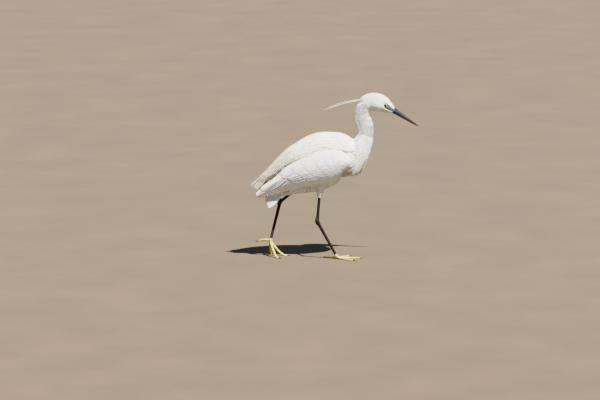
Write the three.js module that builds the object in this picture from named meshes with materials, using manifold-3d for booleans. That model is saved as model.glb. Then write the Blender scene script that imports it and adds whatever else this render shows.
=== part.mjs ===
// A life-size little egret, walking, as a still model.
// Millimetres, +Z up, the bird faces +X and its left is +Y.
// The origin is on the floor, under the middle of the bird's length and width.
import * as THREE from 'three';
import { mergeVertices } from 'three/addons/utils/BufferGeometryUtils.js';
import Module from 'manifold-3d';

const wasm = await Module();
wasm.setup();

// Driving sizes
const gap = 0.3; // between neighbouring pieces
const featherLift = 3; // the most that a wing feather's tip stands off the closed wing
const eyeRadius = 5;
const toeLengths = { hind: 32, inner: 46, middle: 60, outer: 51 };
const clawLength = 9;
const floorToe = 2.1; // height of a resting toe's middle, so that the floor flattens its underside
const centring = -0.7; // brings the middle of the whole length over the origin

// Feather sizes: width, thickness and where a tip ends, beside the heights of root and tip off the surface
const sizes = {
  covert: { width: 17, thick: 0.7, lift: [-1.6, 1.9] },
  flight: { width: 17, thick: 0.75, lift: [-1.6, 1.5] },
  primary: { width: 13, thick: 0.8, lift: [-1.2, 1.6] },
  scapular: { width: 15, thick: 0.75, lift: [-2, 2.6] },
  body: { width: 19, thick: 0.8, lift: [-2.5, 1.8] },
  tail: { width: 13.5, thick: 0.8 },
  aigrette: { width: 6, thick: 0.9 },
  breast: { width: 6.5, thick: 0.9 },
  nape: { width: 3.6, thick: 1.1 },
};

const turn = Math.PI / 180;
const place = (x, y, z) => new THREE.Vector3(x, y, z);
const mix = THREE.MathUtils.lerp;
const both = (make) => [1, -1].map(make);
const evenly = (count, make) =>
  Array.from({ length: count }, (_, i) => make(count > 1 ? i / (count - 1) : 0.5, i));
THREE.MathUtils.seededRandom(41);
const vary = (size) => (2 * THREE.MathUtils.seededRandom() - 1) * size;

// Solids
function solidOf(geometry, apart = 1e-4) {
  const bare = geometry.clone();
  bare.deleteAttribute('normal');
  bare.deleteAttribute('uv');
  const merged = mergeVertices(bare, apart);
  return new wasm.Manifold(new wasm.Mesh({
    numProp: 3,
    vertProperties: new Float32Array(merged.attributes.position.array),
    triVerts: new Uint32Array(merged.index.array),
  }));
}

function geometryOf(solid) {
  const mesh = solid.getMesh();
  const corners = new Float32Array(mesh.numVert * 3);
  for (let i = 0; i < mesh.numVert; i++)
    corners.set(mesh.vertProperties.subarray(i * mesh.numProp, i * mesh.numProp + 3), i * 3);
  const geometry = new THREE.BufferGeometry()
    .setAttribute('position', new THREE.BufferAttribute(corners, 3))
    .setIndex(new THREE.BufferAttribute(mesh.triVerts, 1));
  geometry.computeVertexNormals();
  return geometry;
}

const join = (...solids) => wasm.Manifold.union(solids);
const less = (solid, ...others) => others.reduce((left, other) => left.subtract(other), solid);
const largest = (solid) => solid.decompose().reduce((a, b) => (b.volume() > a.volume() ? b : a));

// A solid with the gap all round it, near enough
const swollen = (solid) => join(...[[gap, 0, 0], [0, gap, 0], [0, 0, gap]].flatMap(
  (by) => [solid.translate(by), solid.translate(by.map((v) => -v))]));

// Drops slivers and the small pockets that feathers close off among them.
const settled = (solid) => largest(solidOf(geometryOf(largest(solid.simplify(0.05))), 2e-3));
const mirrored = (solid) => solid.mirror([0, 1, 0]);

// A closed surface from points and triangles, turned the right way out.
function closed(points, faces) {
  const solid = solidOf(new THREE.BufferGeometry().setFromPoints(points).setIndex(faces));
  if (solid.volume() > 0) return solid;
  for (let i = 0; i < faces.length; i += 3) [faces[i + 1], faces[i + 2]] = [faces[i + 2], faces[i + 1]];
  return solidOf(new THREE.BufferGeometry().setFromPoints(points).setIndex(faces));
}

// Rings of points, one after another, closed at both ends.
function sleeve(rings) {
  const sides = rings[0].length;
  const middle = (ring) => ring.reduce((sum, p) => sum.add(p), place(0, 0, 0)).divideScalar(sides);
  const points = [...rings.flat(), middle(rings[0]), middle(rings.at(-1))];
  const [start, end] = [points.length - 2, points.length - 1];
  const lastRing = (rings.length - 1) * sides;
  const faces = [];
  for (let k = 0; k < sides; k++) {
    const next = (k + 1) % sides;
    for (let r = 0; r < lastRing; r += sides)
      faces.push(r + k, r + next, r + sides + next, r + k, r + sides + next, r + sides + k);
    faces.push(start, next, k, end, lastRing + k, lastRing + next);
  }
  return closed(points, faces);
}

// A rounded form along a spine in the bird's middle plane, from tail to bill. A station is
// [x, z, half depth, half width]. Angle 90 is the back, 0 the left side and -90 the underside.
class Form {
  constructor(stations) {
    this.last = stations.length - 1;
    this.spine = new THREE.SplineCurve(stations.map(([x, z]) => new THREE.Vector2(x, z)));
    this.girth = new THREE.SplineCurve(stations.map(([, , deep, wide]) => new THREE.Vector2(deep, wide)));
  }

  bare(station, angle) {
    const share = THREE.MathUtils.clamp(station / this.last, 0, 1);
    const centre = this.spine.getPoint(share);
    const along = this.spine.getTangent(share);
    const girth = this.girth.getPoint(share);
    const rise = girth.x * Math.sin(angle * turn);
    const out = girth.y * Math.cos(angle * turn);
    return place(centre.x - along.y * rise, out, centre.y + along.x * rise);
  }

  normal(station, angle) {
    const step = 0.02;
    const across = this.bare(station, angle + 1).sub(this.bare(station, angle - 1));
    const along = this.bare(station + step, angle).sub(this.bare(station - step, angle));
    return along.cross(across).normalize().negate();
  }

  point(station, angle, lift = 0) {
    return this.bare(station, angle).addScaledVector(this.normal(station, angle), lift);
  }

  solid(from, to, rings, sides, lift = 0) {
    return sleeve(evenly(rings, (r) => evenly(sides + 1, (k) =>
      this.point(mix(from, to, r), 360 * k, lift)).slice(0, sides)));
  }
}

// A limb of round sections along a curve. Each joint is [x, y, z, half depth, half width].
function limb(joints, rings, sides, grow = 0) {
  const path = new THREE.CatmullRomCurve3(joints.map((j) => place(j[0], j[1], j[2])), false, 'centripetal');
  const girth = new THREE.SplineCurve(joints.map((j) => new THREE.Vector2(j[3], j[4] ?? j[3])));
  const section = (share) => {
    const at = path.getPoint(share);
    const along = path.getTangent(share);
    const side = place(0, 1, 0).addScaledVector(along, -along.y).normalize();
    const front = new THREE.Vector3().crossVectors(side, along);
    const size = girth.getPoint(share);
    return evenly(sides + 1, (k) => at.clone()
      .addScaledVector(front, (size.x + grow) * Math.cos(360 * k * turn))
      .addScaledVector(side, (size.y + grow) * Math.sin(360 * k * turn))).slice(0, sides);
  };
  return sleeve(evenly(rings, section));
}

// A thin blade, both faces split alike. frame(share) gives the quill's point, the way across and the way out
// there, and half(share) half the blade's width. The steps are closer together towards the tip.
function blade({ frame, half, steps, thick, tilt = 0 }) {
  const points = [];
  for (const face of [0.5, -0.5])
    for (let s = 0; s <= steps; s++) {
      const share = 1 - (1 - s / steps) ** 1.35;
      const { at, across, out } = frame(share);
      for (const side of [-1, 1])
        points.push(at.clone()
          .addScaledVector(across, side * half(share))
          .addScaledVector(out, side * half(share) * tilt + face * thick));
    }
  const below = 2 * (steps + 1);
  const tip = 2 * steps;
  const faces = [];
  const quad = (a, b, c, d) => faces.push(a, b, c, a, c, d);
  for (let a = 0; a < tip; a += 2) {
    quad(a, a + 1, a + 3, a + 2);
    faces.push(below + a, below + a + 3, below + a + 1);
    faces.push(below + a, below + a + 2, below + a + 3);
    quad(a, a + 2, below + a + 2, below + a);
    quad(a + 1, below + a + 1, below + a + 3, a + 3);
  }
  quad(0, below, below + 1, 1);
  quad(tip, tip + 1, below + tip + 1, below + tip);
  return closed(points, faces);
}

// How wide a feather is along its length
const rounded = (share) =>
  (share < 0.6 ? mix(0.6, 1, share / 0.6) : Math.max(0.3, Math.sqrt(1 - ((share - 0.6) / 0.42) ** 2)));
const lance = (share) =>
  (share < 0.35 ? mix(0.7, 1, share / 0.35) : mix(1, 0.16, ((share - 0.35) / 0.65) ** 1.2));

// A vane laid on a surface, from one place on it to another. surface(u, v, height) gives a point.
function vane(surface, size, from, to, { long = 1, wide = 1, steps = 3 } = {}) {
  const end = [mix(from[0], to[0], long), mix(from[1], to[1], long)];
  const at = (share, extra = 0) => {
    const height = mix(size.lift[0], size.lift[1], Math.sqrt(Math.max(0, share)));
    return surface(mix(from[0], end[0], share), mix(from[1], end[1], share), height + extra);
  };
  const frame = (share) => {
    const out = at(share, 1).sub(at(share)).normalize();
    const along = at(share + 1e-3).sub(at(share - 2e-2)).normalize();
    return { at: at(share), out, across: new THREE.Vector3().crossVectors(out, along).normalize() };
  };
  const half = (share) => 0.5 * size.width * wide * rounded(share);
  return blade({ frame, half, steps, thick: size.thick, tilt: 0.12 });
}

// A loose plume along points in space, its flat side towards face.
function plume(points, size, face, { steps = 6, wide = 1, shape = lance } = {}) {
  const path = new THREE.CatmullRomCurve3(points, false, 'centripetal');
  const frame = (share) => {
    const along = path.getTangent(share);
    const out = face.clone().addScaledVector(along, -face.dot(along)).normalize();
    return { at: path.getPoint(share), out, across: new THREE.Vector3().crossVectors(out, along) };
  };
  return blade({ frame, half: (share) => 0.5 * size.width * wide * shape(share), steps, thick: size.thick });
}

// Keeps what is on one side of a plane, with room for half a gap.
// The plane is { at, faces }, each [x, z] or [x, y, z].
function part(solid, { at, faces }, keepFront, room = gap / 2) {
  const solidPlace = (v) => (v.length === 2 ? place(v[0], 0, v[1]) : place(...v));
  const normal = solidPlace(faces).normalize().multiplyScalar(keepFront ? 1 : -1);
  return solid.trimByPlane(normal.toArray(), normal.dot(solidPlace(at)) + room);
}

// Read a height off a table of [place, height] pairs
function read(table, at) {
  const next = table.findIndex(([x]) => x >= at);
  if (next < 0) return table.at(-1)[1];
  if (next === 0) return table[0][1];
  const [[x0, y0], [x1, y1]] = [table[next - 1], table[next]];
  return mix(y0, y1, (at - x0) / (x1 - x0));
}

// The trunk, from the wing tips to the breast, then the neck, the skull and the bill
const trunk = new Form([
  [-207, 162, 7, 7],
  [-186, 174, 15, 12],
  [-161, 187, 24, 18],
  [-135, 200, 37, 27],
  [-105, 216, 52, 37],
  [-70, 234, 64, 45],
  [-28, 254, 68, 48],
  [5, 264, 58, 47],
  [30, 262, 46, 42],
  [50, 257, 36, 36],
  [66, 254, 29, 29],
  [78, 253, 18, 19],
  [85, 253, 6, 6],
]);
const neck = new Form([
  [38, 258, 32, 28],
  [54, 276, 32, 29],
  [70, 299, 24.5, 23],
  [80, 324, 19.5, 17.5],
  [79, 347, 19.5, 16.5],
  [71.5, 367, 19, 15.5],
  [70, 385, 18, 15],
  [79, 401, 18, 14.5],
  [94, 409, 19, 15],
]);
const skull = new Form([
  [63, 408, 5, 4.5],
  [70, 409, 13, 10],
  [84, 409.5, 20, 14.5],
  [102, 408.5, 23.5, 16],
  [119, 404, 22.5, 15.5],
  [133, 396.5, 17, 12.8],
  [143.5, 390.2, 11.6, 9.4],
  [151, 386.6, 8.2, 7.2],
]);
const bill = new Form([
  [150, 387.3, 7.6, 6.5],
  [160, 381, 6.3, 5.3],
  [175, 371.4, 5.1, 4.3],
  [192, 360.7, 3.8, 3.2],
  [207, 351.2, 2.3, 2],
  [216.5, 345.4, 0.6, 0.6],
]);
const planes = {
  tail: { at: [-134, 177], faces: [0.73, 0.68] },
  neckBase: { at: [63, 284], faces: [0.72, 0.69] },
  midNeck: { at: [79, 345], faces: [-0.05, 1] },
  headBase: { at: [72, 392], faces: [0.5, 0.86] },
  billBase: { at: [150.8, 387.5], faces: [0.84, -0.54] },
  mouth: { at: [150, 384.8], faces: [0.515, 0.857] },
};

// Flesh, modelled whole and parted with thin cuts
const bodyOf = (grow) => join(trunk.solid(2.5, 12, 14, 16, grow), neck.solid(0, 8, 15, 16, grow));
const grown = bodyOf(gap + 0.1);
const flesh = join(bodyOf(0), skull.solid(0, 7, 11, 14));
const between = (behind, ahead) => part(part(flesh, planes[behind], true), planes[ahead], false);
const torsoCore = between('tail', 'neckBase');
const torsoGrown = part(grown, planes.neckBase, false, 0);
const neckCore = between('neckBase', 'midNeck');
const neckUpper = between('midNeck', 'headBase');
const headCore = between('headBase', 'billBase');

// The closed wing lies on the trunk. Its edges and thickness go by the trunk's stations.
const wingEdge = {
  low: [[0, -70], [1, -58], [2, -44], [3, -32], [4, -28], [5, -36],
    [6, -48], [6.6, -52], [7.2, -46], [8, -30], [8.7, -10]],
  high: [[0, 55], [1, 46], [3, 46], [4, 42], [5, 34], [6, 28], [7, 25], [8, 16], [8.7, 4]],
  thick: [[0, 1.4], [2, 2.5], [4, 5], [6, 8.5], [7.4, 9], [8.2, 6], [8.7, 2]],
};
const bend = 8.7; // the wing's front end, as a station

// u runs from the bend of the wing to its tip, and v from its upper edge to its lower edge.
function wingSurface(u, v, height) {
  const station = mix(bend, 0, u);
  const swell = read(wingEdge.thick, station) *
    Math.sqrt(Math.sin(Math.PI * mix(0.04, 0.94, THREE.MathUtils.clamp(v, 0, 1))));
  const angle = mix(read(wingEdge.high, station), read(wingEdge.low, station), v);
  return trunk.point(station, angle, 0.8 + swell + height);
}

function wingBlock(grow = 0) {
  return sleeve(evenly(13, (u) => {
    const station = mix(bend, 0, u);
    const reach = (grow * mix(4, 1.3, station / bend)) /
      (read(wingEdge.high, station) - read(wingEdge.low, station));
    const inside = station > 3 ? -2 : 0.2;
    const angle = (v) => mix(read(wingEdge.high, station), read(wingEdge.low, station), v);
    return [
      ...evenly(7, (k) => wingSurface(u, mix(-reach, 1 + reach, k), grow)),
      ...evenly(4, (k) => trunk.point(station, angle(mix(1 + reach, -reach, k)), inside - grow)),
    ];
  }));
}

// Rows of coverts, then secondaries, tertials and primaries. A row is the size of feather, how many, and for
// its first and last feather the root and the tip as [u, v].
const wingRows = [
  { size: 'covert', count: 3, wide: 1.2,
    first: [[0.06, 0.16], [0.19, 0.1]], last: [[0.05, 0.9], [0.16, 0.94]], steps: 2 },
  { size: 'covert', count: 4, wide: 1.25,
    first: [[0.17, 0.1], [0.34, 0.08]], last: [[0.14, 0.88], [0.27, 0.95]], steps: 2 },
  { size: 'covert', count: 5, wide: 1.2,
    first: [[0.31, 0.12], [0.52, 0.1]], last: [[0.25, 0.88], [0.41, 0.96]] },
  { size: 'flight', count: 5, wide: 1.2,
    first: [[0.48, 0.5], [0.8, 0.46]], last: [[0.39, 0.93], [0.66, 1.02]] },
  { size: 'flight', count: 3, wide: 1.15,
    first: [[0.5, 0.14], [0.9, 0.18]], last: [[0.5, 0.44], [0.85, 0.48]] },
  { size: 'primary', count: 4, wide: 1.2,
    first: [[0.74, 0.2], [0.985, 0.22]], last: [[0.66, 0.92], [0.93, 1.08]] },
];

function rowOf(surface, { size, count, wide, first, last, steps = 3 }) {
  const between2 = (a, b, share) => [mix(a[0], b[0], share), mix(a[1], b[1], share)];
  return evenly(count, (share) => {
    const from = between2(first[0], last[0], share);
    const to = between2(first[1], last[1], share);
    return vane(surface, sizes[size], from, to,
      { long: 1 + vary(0.04), wide: wide * (1 + vary(0.05)), steps });
  });
}

// Tail: a thin core at the root under six pairs of vanes, the middle pair on top.
const tailAlong = place(-0.73, 0, -0.68);
const tailOut = place(-0.68, 0, 0.73);
const tailRoot = place(-134, 0, 171);

function tailVane(side, order) {
  const spread = side * (1.5 + 2.6 * order) * turn;
  const way = tailAlong.clone().multiplyScalar(Math.cos(spread))
    .addScaledVector(place(0, 1, 0), Math.sin(spread));
  const start = tailRoot.clone().addScaledVector(place(0, 1, 0), side * 1.7 * order)
    .addScaledVector(tailAlong, -6);
  const frame = (share) => ({
    at: start.clone().addScaledVector(way, (62 - 1.2 * order) * share)
      .addScaledVector(tailOut, 3.2 - 1.15 * order - 1.5 * share * share),
    across: new THREE.Vector3().crossVectors(tailOut, way),
    out: tailOut,
  });
  return blade({ frame, half: (share) => 0.5 * sizes.tail.width * rounded(share), steps: 3,
    thick: sizes.tail.thick, tilt: side * -0.1 });
}

function tailRootBlock(grow = 0) {
  const centre = tailRoot.clone();
  const at = (far) => centre.clone().addScaledVector(tailAlong, far);
  const row = (far, deep, wide) => [...at(far).toArray(), deep, wide];
  return limb([row(-5, 8, 14), row(6, 7, 14), row(20, 3.6, 13), row(30, 1.2, 11)], 6, 14, grow);
}

// Room kept for the tail inside the wings and the mantle
function tailSpace() {
  const frame = (share) => ({
    at: tailRoot.clone().addScaledVector(tailAlong, mix(-4, 66, share)).addScaledVector(tailOut, 1),
    across: place(0, 1, 0),
    out: tailOut,
  });
  return blade({ frame, half: (share) => mix(17, 24, share), steps: 2, thick: 14 });
}

const tailWhole = join(tailRootBlock(),
  ...both((side) => evenly(6, (_, order) => tailVane(side, order))).flat());
const tailRoom = join(tailRootBlock(1), tailSpace());
const wing = settled(less(
  join(wingBlock(), ...wingRows.flatMap((row) => rowOf(wingSurface, row))),
  grown, tailRoom, tailWhole,
));

// Mantle: a saddle over the back that the long scapular plumes grow from. They hang over the wings.
const mantleFront = 8.9; // its front end, as a station
const mantleRear = 0.8;
const mantleEdge = [[0.8, 74], [2, 54], [3, 46], [4, 43], [5, 33], [6, 25], [7, 23], [8, 27], [8.9, 42]];
const mantleThick = [[0.8, 12], [2, 14], [3.5, 11], [5, 7.5], [7, 5.5], [8.3, 5], [8.9, 2]];

// u runs from the front of the mantle to its rear end,
// and v from its left edge over the back to its right edge.
function mantleSurface(u, v, height) {
  const station = mix(mantleFront, mantleRear, u);
  const edge = read(mantleEdge, station);
  const swell = Math.sqrt(Math.sin(Math.PI * mix(0.06, 0.94, THREE.MathUtils.clamp(v, 0, 1))));
  return trunk.point(station, mix(edge, 180 - edge, v), 1.5 + read(mantleThick, station) * swell + height);
}

function mantleBlock() {
  return sleeve(evenly(12, (u) => {
    const edge = read(mantleEdge, mix(mantleFront, mantleRear, u));
    return [
      ...evenly(8, (v) => mantleSurface(u, v, 0)),
      ...evenly(4, (v) => trunk.point(mix(mantleFront, mantleRear, u), mix(180 - edge, edge, v), -3)),
    ];
  }));
}

const mantleRows = [
  { size: 'scapular', count: 4, wide: 1.3,
    first: [[0.1, 0.1], [0.3, 0.06]], last: [[0.1, 0.9], [0.3, 0.94]], steps: 2 },
  { size: 'scapular', count: 5, wide: 1.3,
    first: [[0.28, 0.05], [0.56, 0.02]], last: [[0.28, 0.95], [0.56, 0.98]] },
  { size: 'scapular', count: 5, wide: 1.1,
    first: [[0.5, 0.06], [0.86, 0.06]], last: [[0.5, 0.94], [0.86, 0.94]] },
];

// The aigrettes rise off the mantle's rear half and run past its end.
function aigrette(share) {
  const v = mix(0.06, 0.94, share);
  const side = Math.cos(Math.PI * v);
  const far = 1 - Math.abs(side);
  const root = mix(0.34, 0.5, THREE.MathUtils.seededRandom());
  const end = place(mix(-188, -214, far) + vary(5), side * 20, mix(176, 191, far) + vary(5));
  const points = [[root, -2.4], [mix(root, 1, 0.4), 2.4], [mix(root, 1, 0.8), 4.2]].map(([u, height]) =>
    mantleSurface(u, mix(v, 0.5, 0.1 * u), height));
  return plume([...points, end], sizes.aigrette, place(-0.5, 0.5 * side, 1),
    { wide: 1 + vary(0.15), steps: 4 });
}

const wings = swollen(join(wing, mirrored(wing)));
const wingRoom = join(wingBlock(featherLift + gap), mirrored(wingBlock(featherLift + gap)));
const mantle = largest(less(
  join(mantleBlock(), ...mantleRows.flatMap((row) => rowOf(mantleSurface, row)), ...evenly(8, aigrette)),
  grown, wingRoom, tailRoom, wings,
));

// Head: lids round each eye, a socket, the line of the mouth running back under the eye, and the nape plumes
const eyeAt = { x: 129, y: 10.4, z: 403.2 };
const ball = (radius, sides, side) => solidOf(
  new THREE.SphereGeometry(radius, sides, Math.round(sides * 0.7))
    .translate(eyeAt.x, side * eyeAt.y, eyeAt.z));

function lid(side) {
  const ring = new THREE.TorusGeometry(5.4, 1.1, 4, 12);
  ring.rotateX(90 * turn).translate(eyeAt.x, side * (eyeAt.y + 2.3), eyeAt.z);
  return solidOf(ring);
}

function mouthLine(side) {
  const groove = new THREE.BoxGeometry(27, 3, 0.8);
  groove.rotateZ(side * 14 * turn).rotateY(27 * turn).translate(141, side * 11.2, 389.6);
  return solidOf(groove);
}

const napeEnds = [place(-31, -3, 387.5), place(-20, 5, 392)];
const napePlumes = napeEnds.map((end, i) => plume(
  [place(80, i * 4 - 2, 415), place(66, i * 5 - 2.5, 415), place(20, i * 6 - 3, 405 + 2 * i), end],
  sizes.nape, place(0, 0.3, 1), { steps: 5, shape: (share) => mix(1, 0.3, share) }));
const napeLocks = evenly(3, (share) => {
  const angle = mix(35, 145, share);
  return plume(
    [skull.point(2.6, angle, -1.6), skull.point(1.6, angle, 1.2), skull.point(1, angle, 3.4)],
    sizes.nape, skull.normal(2, angle), { steps: 2, wide: 1.8 });
});
const head = largest(less(
  join(headCore, ...both(lid), ...napePlumes, ...napeLocks),
  part(neck.solid(0, 8, 15, 16, gap + 0.1), planes.headBase, false, 0),
  ...both((side) => ball(eyeRadius + gap, 14, side)), ...both(mouthLine),
));

// Bill: one wedge parted along the mouth, with a nostril slit on each side of the upper half
const wedge = part(bill.solid(0, 5, 12, 14), planes.billBase, true);
const nostril = (side) =>
  solidOf(new THREE.BoxGeometry(8, 2, 1).rotateY(32 * turn).translate(162, side * 5, 382.6));
const billUpper = less(part(wedge, planes.mouth, true), ...both(nostril));
const billLower = part(wedge, planes.mouth, false);

// Legs
const legs = {
  right: { knee: [-34, -24, 232], thighEnd: [-41, -24, 163], ankle: [-46, -25, 99], toeJoint: [4, -25, 7.5] },
  left: { knee: [-34, 24, 226], thighEnd: [-101, 33, 174], ankle: [-143, 36, 140], toeJoint: [-168, 14, 42] },
};
const amid = (a, b, share) => a.map((v, i) => mix(v, b[i], share));
const away = (a, b) => b.map((v, i) => v - a[i]);

function thighOf({ knee, thighEnd }, grow = 0) {
  return limb([
    [...amid(knee, thighEnd, 0.1), 22, 18],
    [...amid(knee, thighEnd, 0.5), 20, 16],
    [...amid(knee, thighEnd, 0.8), 13, 11],
    [...thighEnd, 6, 5.5],
  ], 6, 12, grow);
}

// The thigh's loose feathers hang round the bare shank.
function thighFeathers({ knee, thighEnd }) {
  const axis = place(...away(knee, thighEnd)).normalize();
  const side = place(0, 1, 0).addScaledVector(axis, -axis.y).normalize();
  const front = new THREE.Vector3().crossVectors(side, axis);
  const surface = (u, v, height) => {
    const radius = read([[0.5, 18], [0.8, 12], [1, 5.75], [1.3, 4.6]], u) + height;
    return place(...amid(knee, thighEnd, u))
      .addScaledVector(front, radius * Math.cos(360 * v * turn))
      .addScaledVector(side, radius * Math.sin(360 * v * turn));
  };
  const row = (u, length, count, wide) => evenly(count, (_, i) => vane(surface, sizes.body,
    [u, (i + 0.5 * (u > 0.7)) / count],
    [u + length, (i + 0.5 * (u > 0.7)) / count], { long: 1 + vary(0.1), wide, steps: 2 }));
  return [...row(0.6, 0.3, 6, 0.85), ...row(0.8, 0.28, 4, 0.6)];
}

function legPieces(joints) {
  const { knee, thighEnd, ankle, toeJoint } = joints;
  const pole = limb([
    [...amid(knee, thighEnd, 0.8), 3.4, 3.1],
    [...amid(thighEnd, ankle, 0.5), 3.3, 3],
    [...amid(thighEnd, ankle, 0.88), 4.3, 3.9],
    [...ankle, 5.3, 4.6],
    [...amid(ankle, toeJoint, 0.1), 4.1, 3.6],
    [...amid(ankle, toeJoint, 0.5), 3.3, 2.8],
    [...amid(ankle, toeJoint, 0.92), 3.6, 3.4],
    [...toeJoint, 3.9, 4.3],
  ], 17, 8);
  const thighCut = { at: amid(knee, thighEnd, 0.9), faces: away(thighEnd, ankle) };
  const ankleCut = { at: amid(ankle, toeJoint, 0.045), faces: away(ankle, toeJoint) };
  const footCut = { at: amid(ankle, toeJoint, 0.95), faces: away(ankle, toeJoint) };
  const shank = part(part(pole, thighCut, true), ankleCut, false);
  const bore = limb([
    [...amid(knee, thighEnd, 0.8), 3.4, 3.1],
    [...amid(thighEnd, ankle, 0.5), 3.3, 3],
  ], 3, 12, gap + 0.15);
  const room = part(bore, thighCut, true, -gap / 2);
  const cover = join(thighOf(joints), ...thighFeathers(joints));
  return {
    thigh: largest(less(cover, torsoGrown, wingRoom, wings, room)),
    shank: largest(shank),
    tarsus: largest(part(part(pole, ankleCut, true), footCut, false)),
    footCut,
  };
}

// A toe runs from the foot's joint through the points of its bend, and its claw goes on from its end.
function toe(points, root, end) {
  const joints = points.map((p, i) => {
    const knuckle = i > 0 && i < points.length - 1 ? 0.3 : 0;
    const size = mix(root, end, i / (points.length - 1)) + knuckle;
    return [...p, size, size];
  });
  return limb(joints, 2 * points.length - 2, 6);
}

function claw(points) {
  const [before, end] = points.slice(-2);
  const onward = place(...away(before, end)).normalize();
  const tip = place(...end).addScaledVector(onward, clawLength).sub(place(0, 0, 1)).toArray();
  tip[2] = Math.max(0.7, tip[2]);
  const base = place(...end).addScaledVector(onward, gap).toArray();
  const middle = amid(base, tip, 0.5);
  middle[2] += 0.8;
  return limb([[...base, 1.5], [...middle, 1.1], [...tip, 0.4]], 4, 6);
}

// The front foot lies flat. Each toe is a length and an angle off straight ahead.
function flatToes(joint) {
  const run = (length, angle) =>
    [[0, 5.5], [0.22, 3.4], [0.5, floorToe], [0.78, floorToe - 0.2], [1, floorToe - 0.5]].map(
    ([share, height]) => [
      joint[0] + length * share * Math.cos(angle * turn),
      joint[1] + length * share * Math.sin(angle * turn),
      height,
    ]);
  return {
    hind: run(toeLengths.hind, 152),
    inner: run(toeLengths.inner, 44),
    middle: run(toeLengths.middle, 3),
    outer: run(toeLengths.outer, -34),
  };
}

// The rear foot stands on the ends of its front toes, its joint well off the floor
// and the hind toe in the air.
const pushingToes = {
  hind: [[-168, 14, 41], [-177, 16, 43], [-188, 19, 42.5], [-199, 22, 39]],
  inner: [[-168, 14, 41], [-164, 5, 27], [-158, -5, 12], [-151, -13, floorToe], [-146, -18, floorToe - 0.4]],
  middle: [[-168, 14, 41], [-158, 15, 26], [-146, 16, 12], [-133, 17, floorToe], [-125, 18, floorToe - 0.4]],
  outer: [[-168, 14, 41], [-169, 23, 27], [-169, 33, 12], [-167, 42, floorToe], [-164, 49, floorToe - 0.4]],
};

const onFloor = (solid) => solid.trimByPlane([0, 0, 1], 0);

function footPieces(toes, joint, footCut) {
  const knuckle = limb([
    [...amid(joint, footCut.at, 0.98), 3.9, 4],
    [...amid(joint, footCut.at, 0.2), 4.5, 4.9],
    [toes.middle[0][0] + 2, toes.middle[0][1], toes.middle[0][2] - 1, 3.8, 4.2],
  ], 5, 8);
  const bones = Object.entries(toes).map(([which, points]) => toe(points, which === 'hind' ? 2.7 : 3, 2));
  return largest(part(onFloor(join(knuckle, ...bones)), footCut, true));
}

// Breast plumes: from the base of the neck they hang down in front of the breast.
function breastPlume(share, tier) {
  const angle = mix(-158, -22, share);
  const side = Math.cos(angle * turn);
  const low = 1 - Math.abs(side);
  const end = trunk.point(mix(10.4, 9.7, low) - 0.5 * tier, mix(-12, -78, low), 3.5);
  end.y = Math.sign(side) * Math.abs(end.y) * Math.min(1, 1.6 * Math.abs(side));
  const points = [
    neck.point(2.9 - 0.7 * tier, angle, -2),
    neck.point(2 - 0.5 * tier, angle, 1.6),
    neck.point(1.1 - 0.5 * tier, angle, 3),
    end,
  ];
  return plume(points, sizes.breast, neck.normal(1.6, angle), { steps: 3, wide: 1.3 + vary(0.2) });
}

const breast = [
  ...evenly(7, (share) => breastPlume(share, 0)),
  ...evenly(6, (share) => breastPlume(mix(0.07, 0.93, share), 1)),
];
const neckLower = largest(less(join(neckCore, ...breast), torsoGrown));

// Belly and flanks: u runs from the breast to the vent, and v from the left round the underside to the right.
const bellySurface = (u, v, height) => trunk.point(mix(9.8, 3, u), mix(-8, -172, v), height);
const bellyRows = [
  { size: 'body', count: 3, wide: 1.3,
    first: [[0.14, 0.38], [0.34, 0.38]], last: [[0.14, 0.62], [0.34, 0.62]], steps: 2 },
  { size: 'body', count: 4, wide: 1.2,
    first: [[0.7, 0.36], [0.94, 0.38]], last: [[0.7, 0.64], [0.94, 0.62]], steps: 2 },
];
const thighRoom = join(...Object.values(legs).map((joints) => thighOf(joints, gap + 2.2)));
const bellyFeathers = less(join(...bellyRows.flatMap((row) => rowOf(bellySurface, row))),
  wingRoom, wings, thighRoom, tailRoom);
const torso = largest(less(join(torsoCore, bellyFeathers),
  part(join(neckLower, tailWhole), planes.midNeck, false)));

const finish = (color, roughness) => new THREE.MeshStandardMaterial({ color, roughness, metalness: 0 });
const plumage = finish(0xf1f0e8, 0.85);
const blackHorn = finish(0x1d1c1e, 0.4);
const blackScale = finish(0x15110f, 0.5);
const yellowScale = finish(0xc9b63a, 0.55);
const wetEye = finish(0xe8d36a, 0.1);

const egret = new THREE.Group();

function add(name, solid, material) {
  const mesh = new THREE.Mesh(geometryOf(settled(solid).translate([centring, 0, 0])), material);
  mesh.name = name;
  egret.add(mesh);
}

add('head', head, plumage);
add('bill_upper', largest(billUpper), blackHorn);
add('bill_lower', largest(billLower), blackHorn);
add('eye_left', ball(eyeRadius, 12, 1), wetEye);
add('eye_right', ball(eyeRadius, 12, -1), wetEye);
add('neck_upper', largest(neckUpper), plumage);
add('neck_lower', neckLower, plumage);
add('torso', torso, plumage);
add('mantle', mantle, plumage);
add('wing_left', wing, plumage);
add('wing_right', mirrored(wing), plumage);
add('tail', largest(less(tailWhole, torsoGrown)), plumage);
for (const [side, joints] of Object.entries(legs)) {
  const { thigh, shank, tarsus, footCut } = legPieces(joints);
  const toes = side === 'right' ? flatToes(joints.toeJoint) : pushingToes;
  add(`thigh_${side}`, thigh, plumage);
  add(`shank_${side}`, shank, blackScale);
  add(`tarsus_${side}`, tarsus, blackScale);
  add(`foot_${side}`, footPieces(toes, joints.toeJoint, footCut), yellowScale);
  for (const [which, points] of Object.entries(toes))
    add(`claw_${which}_${side}`, largest(onFloor(claw(points))), blackHorn);
}

export default egret;
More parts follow.
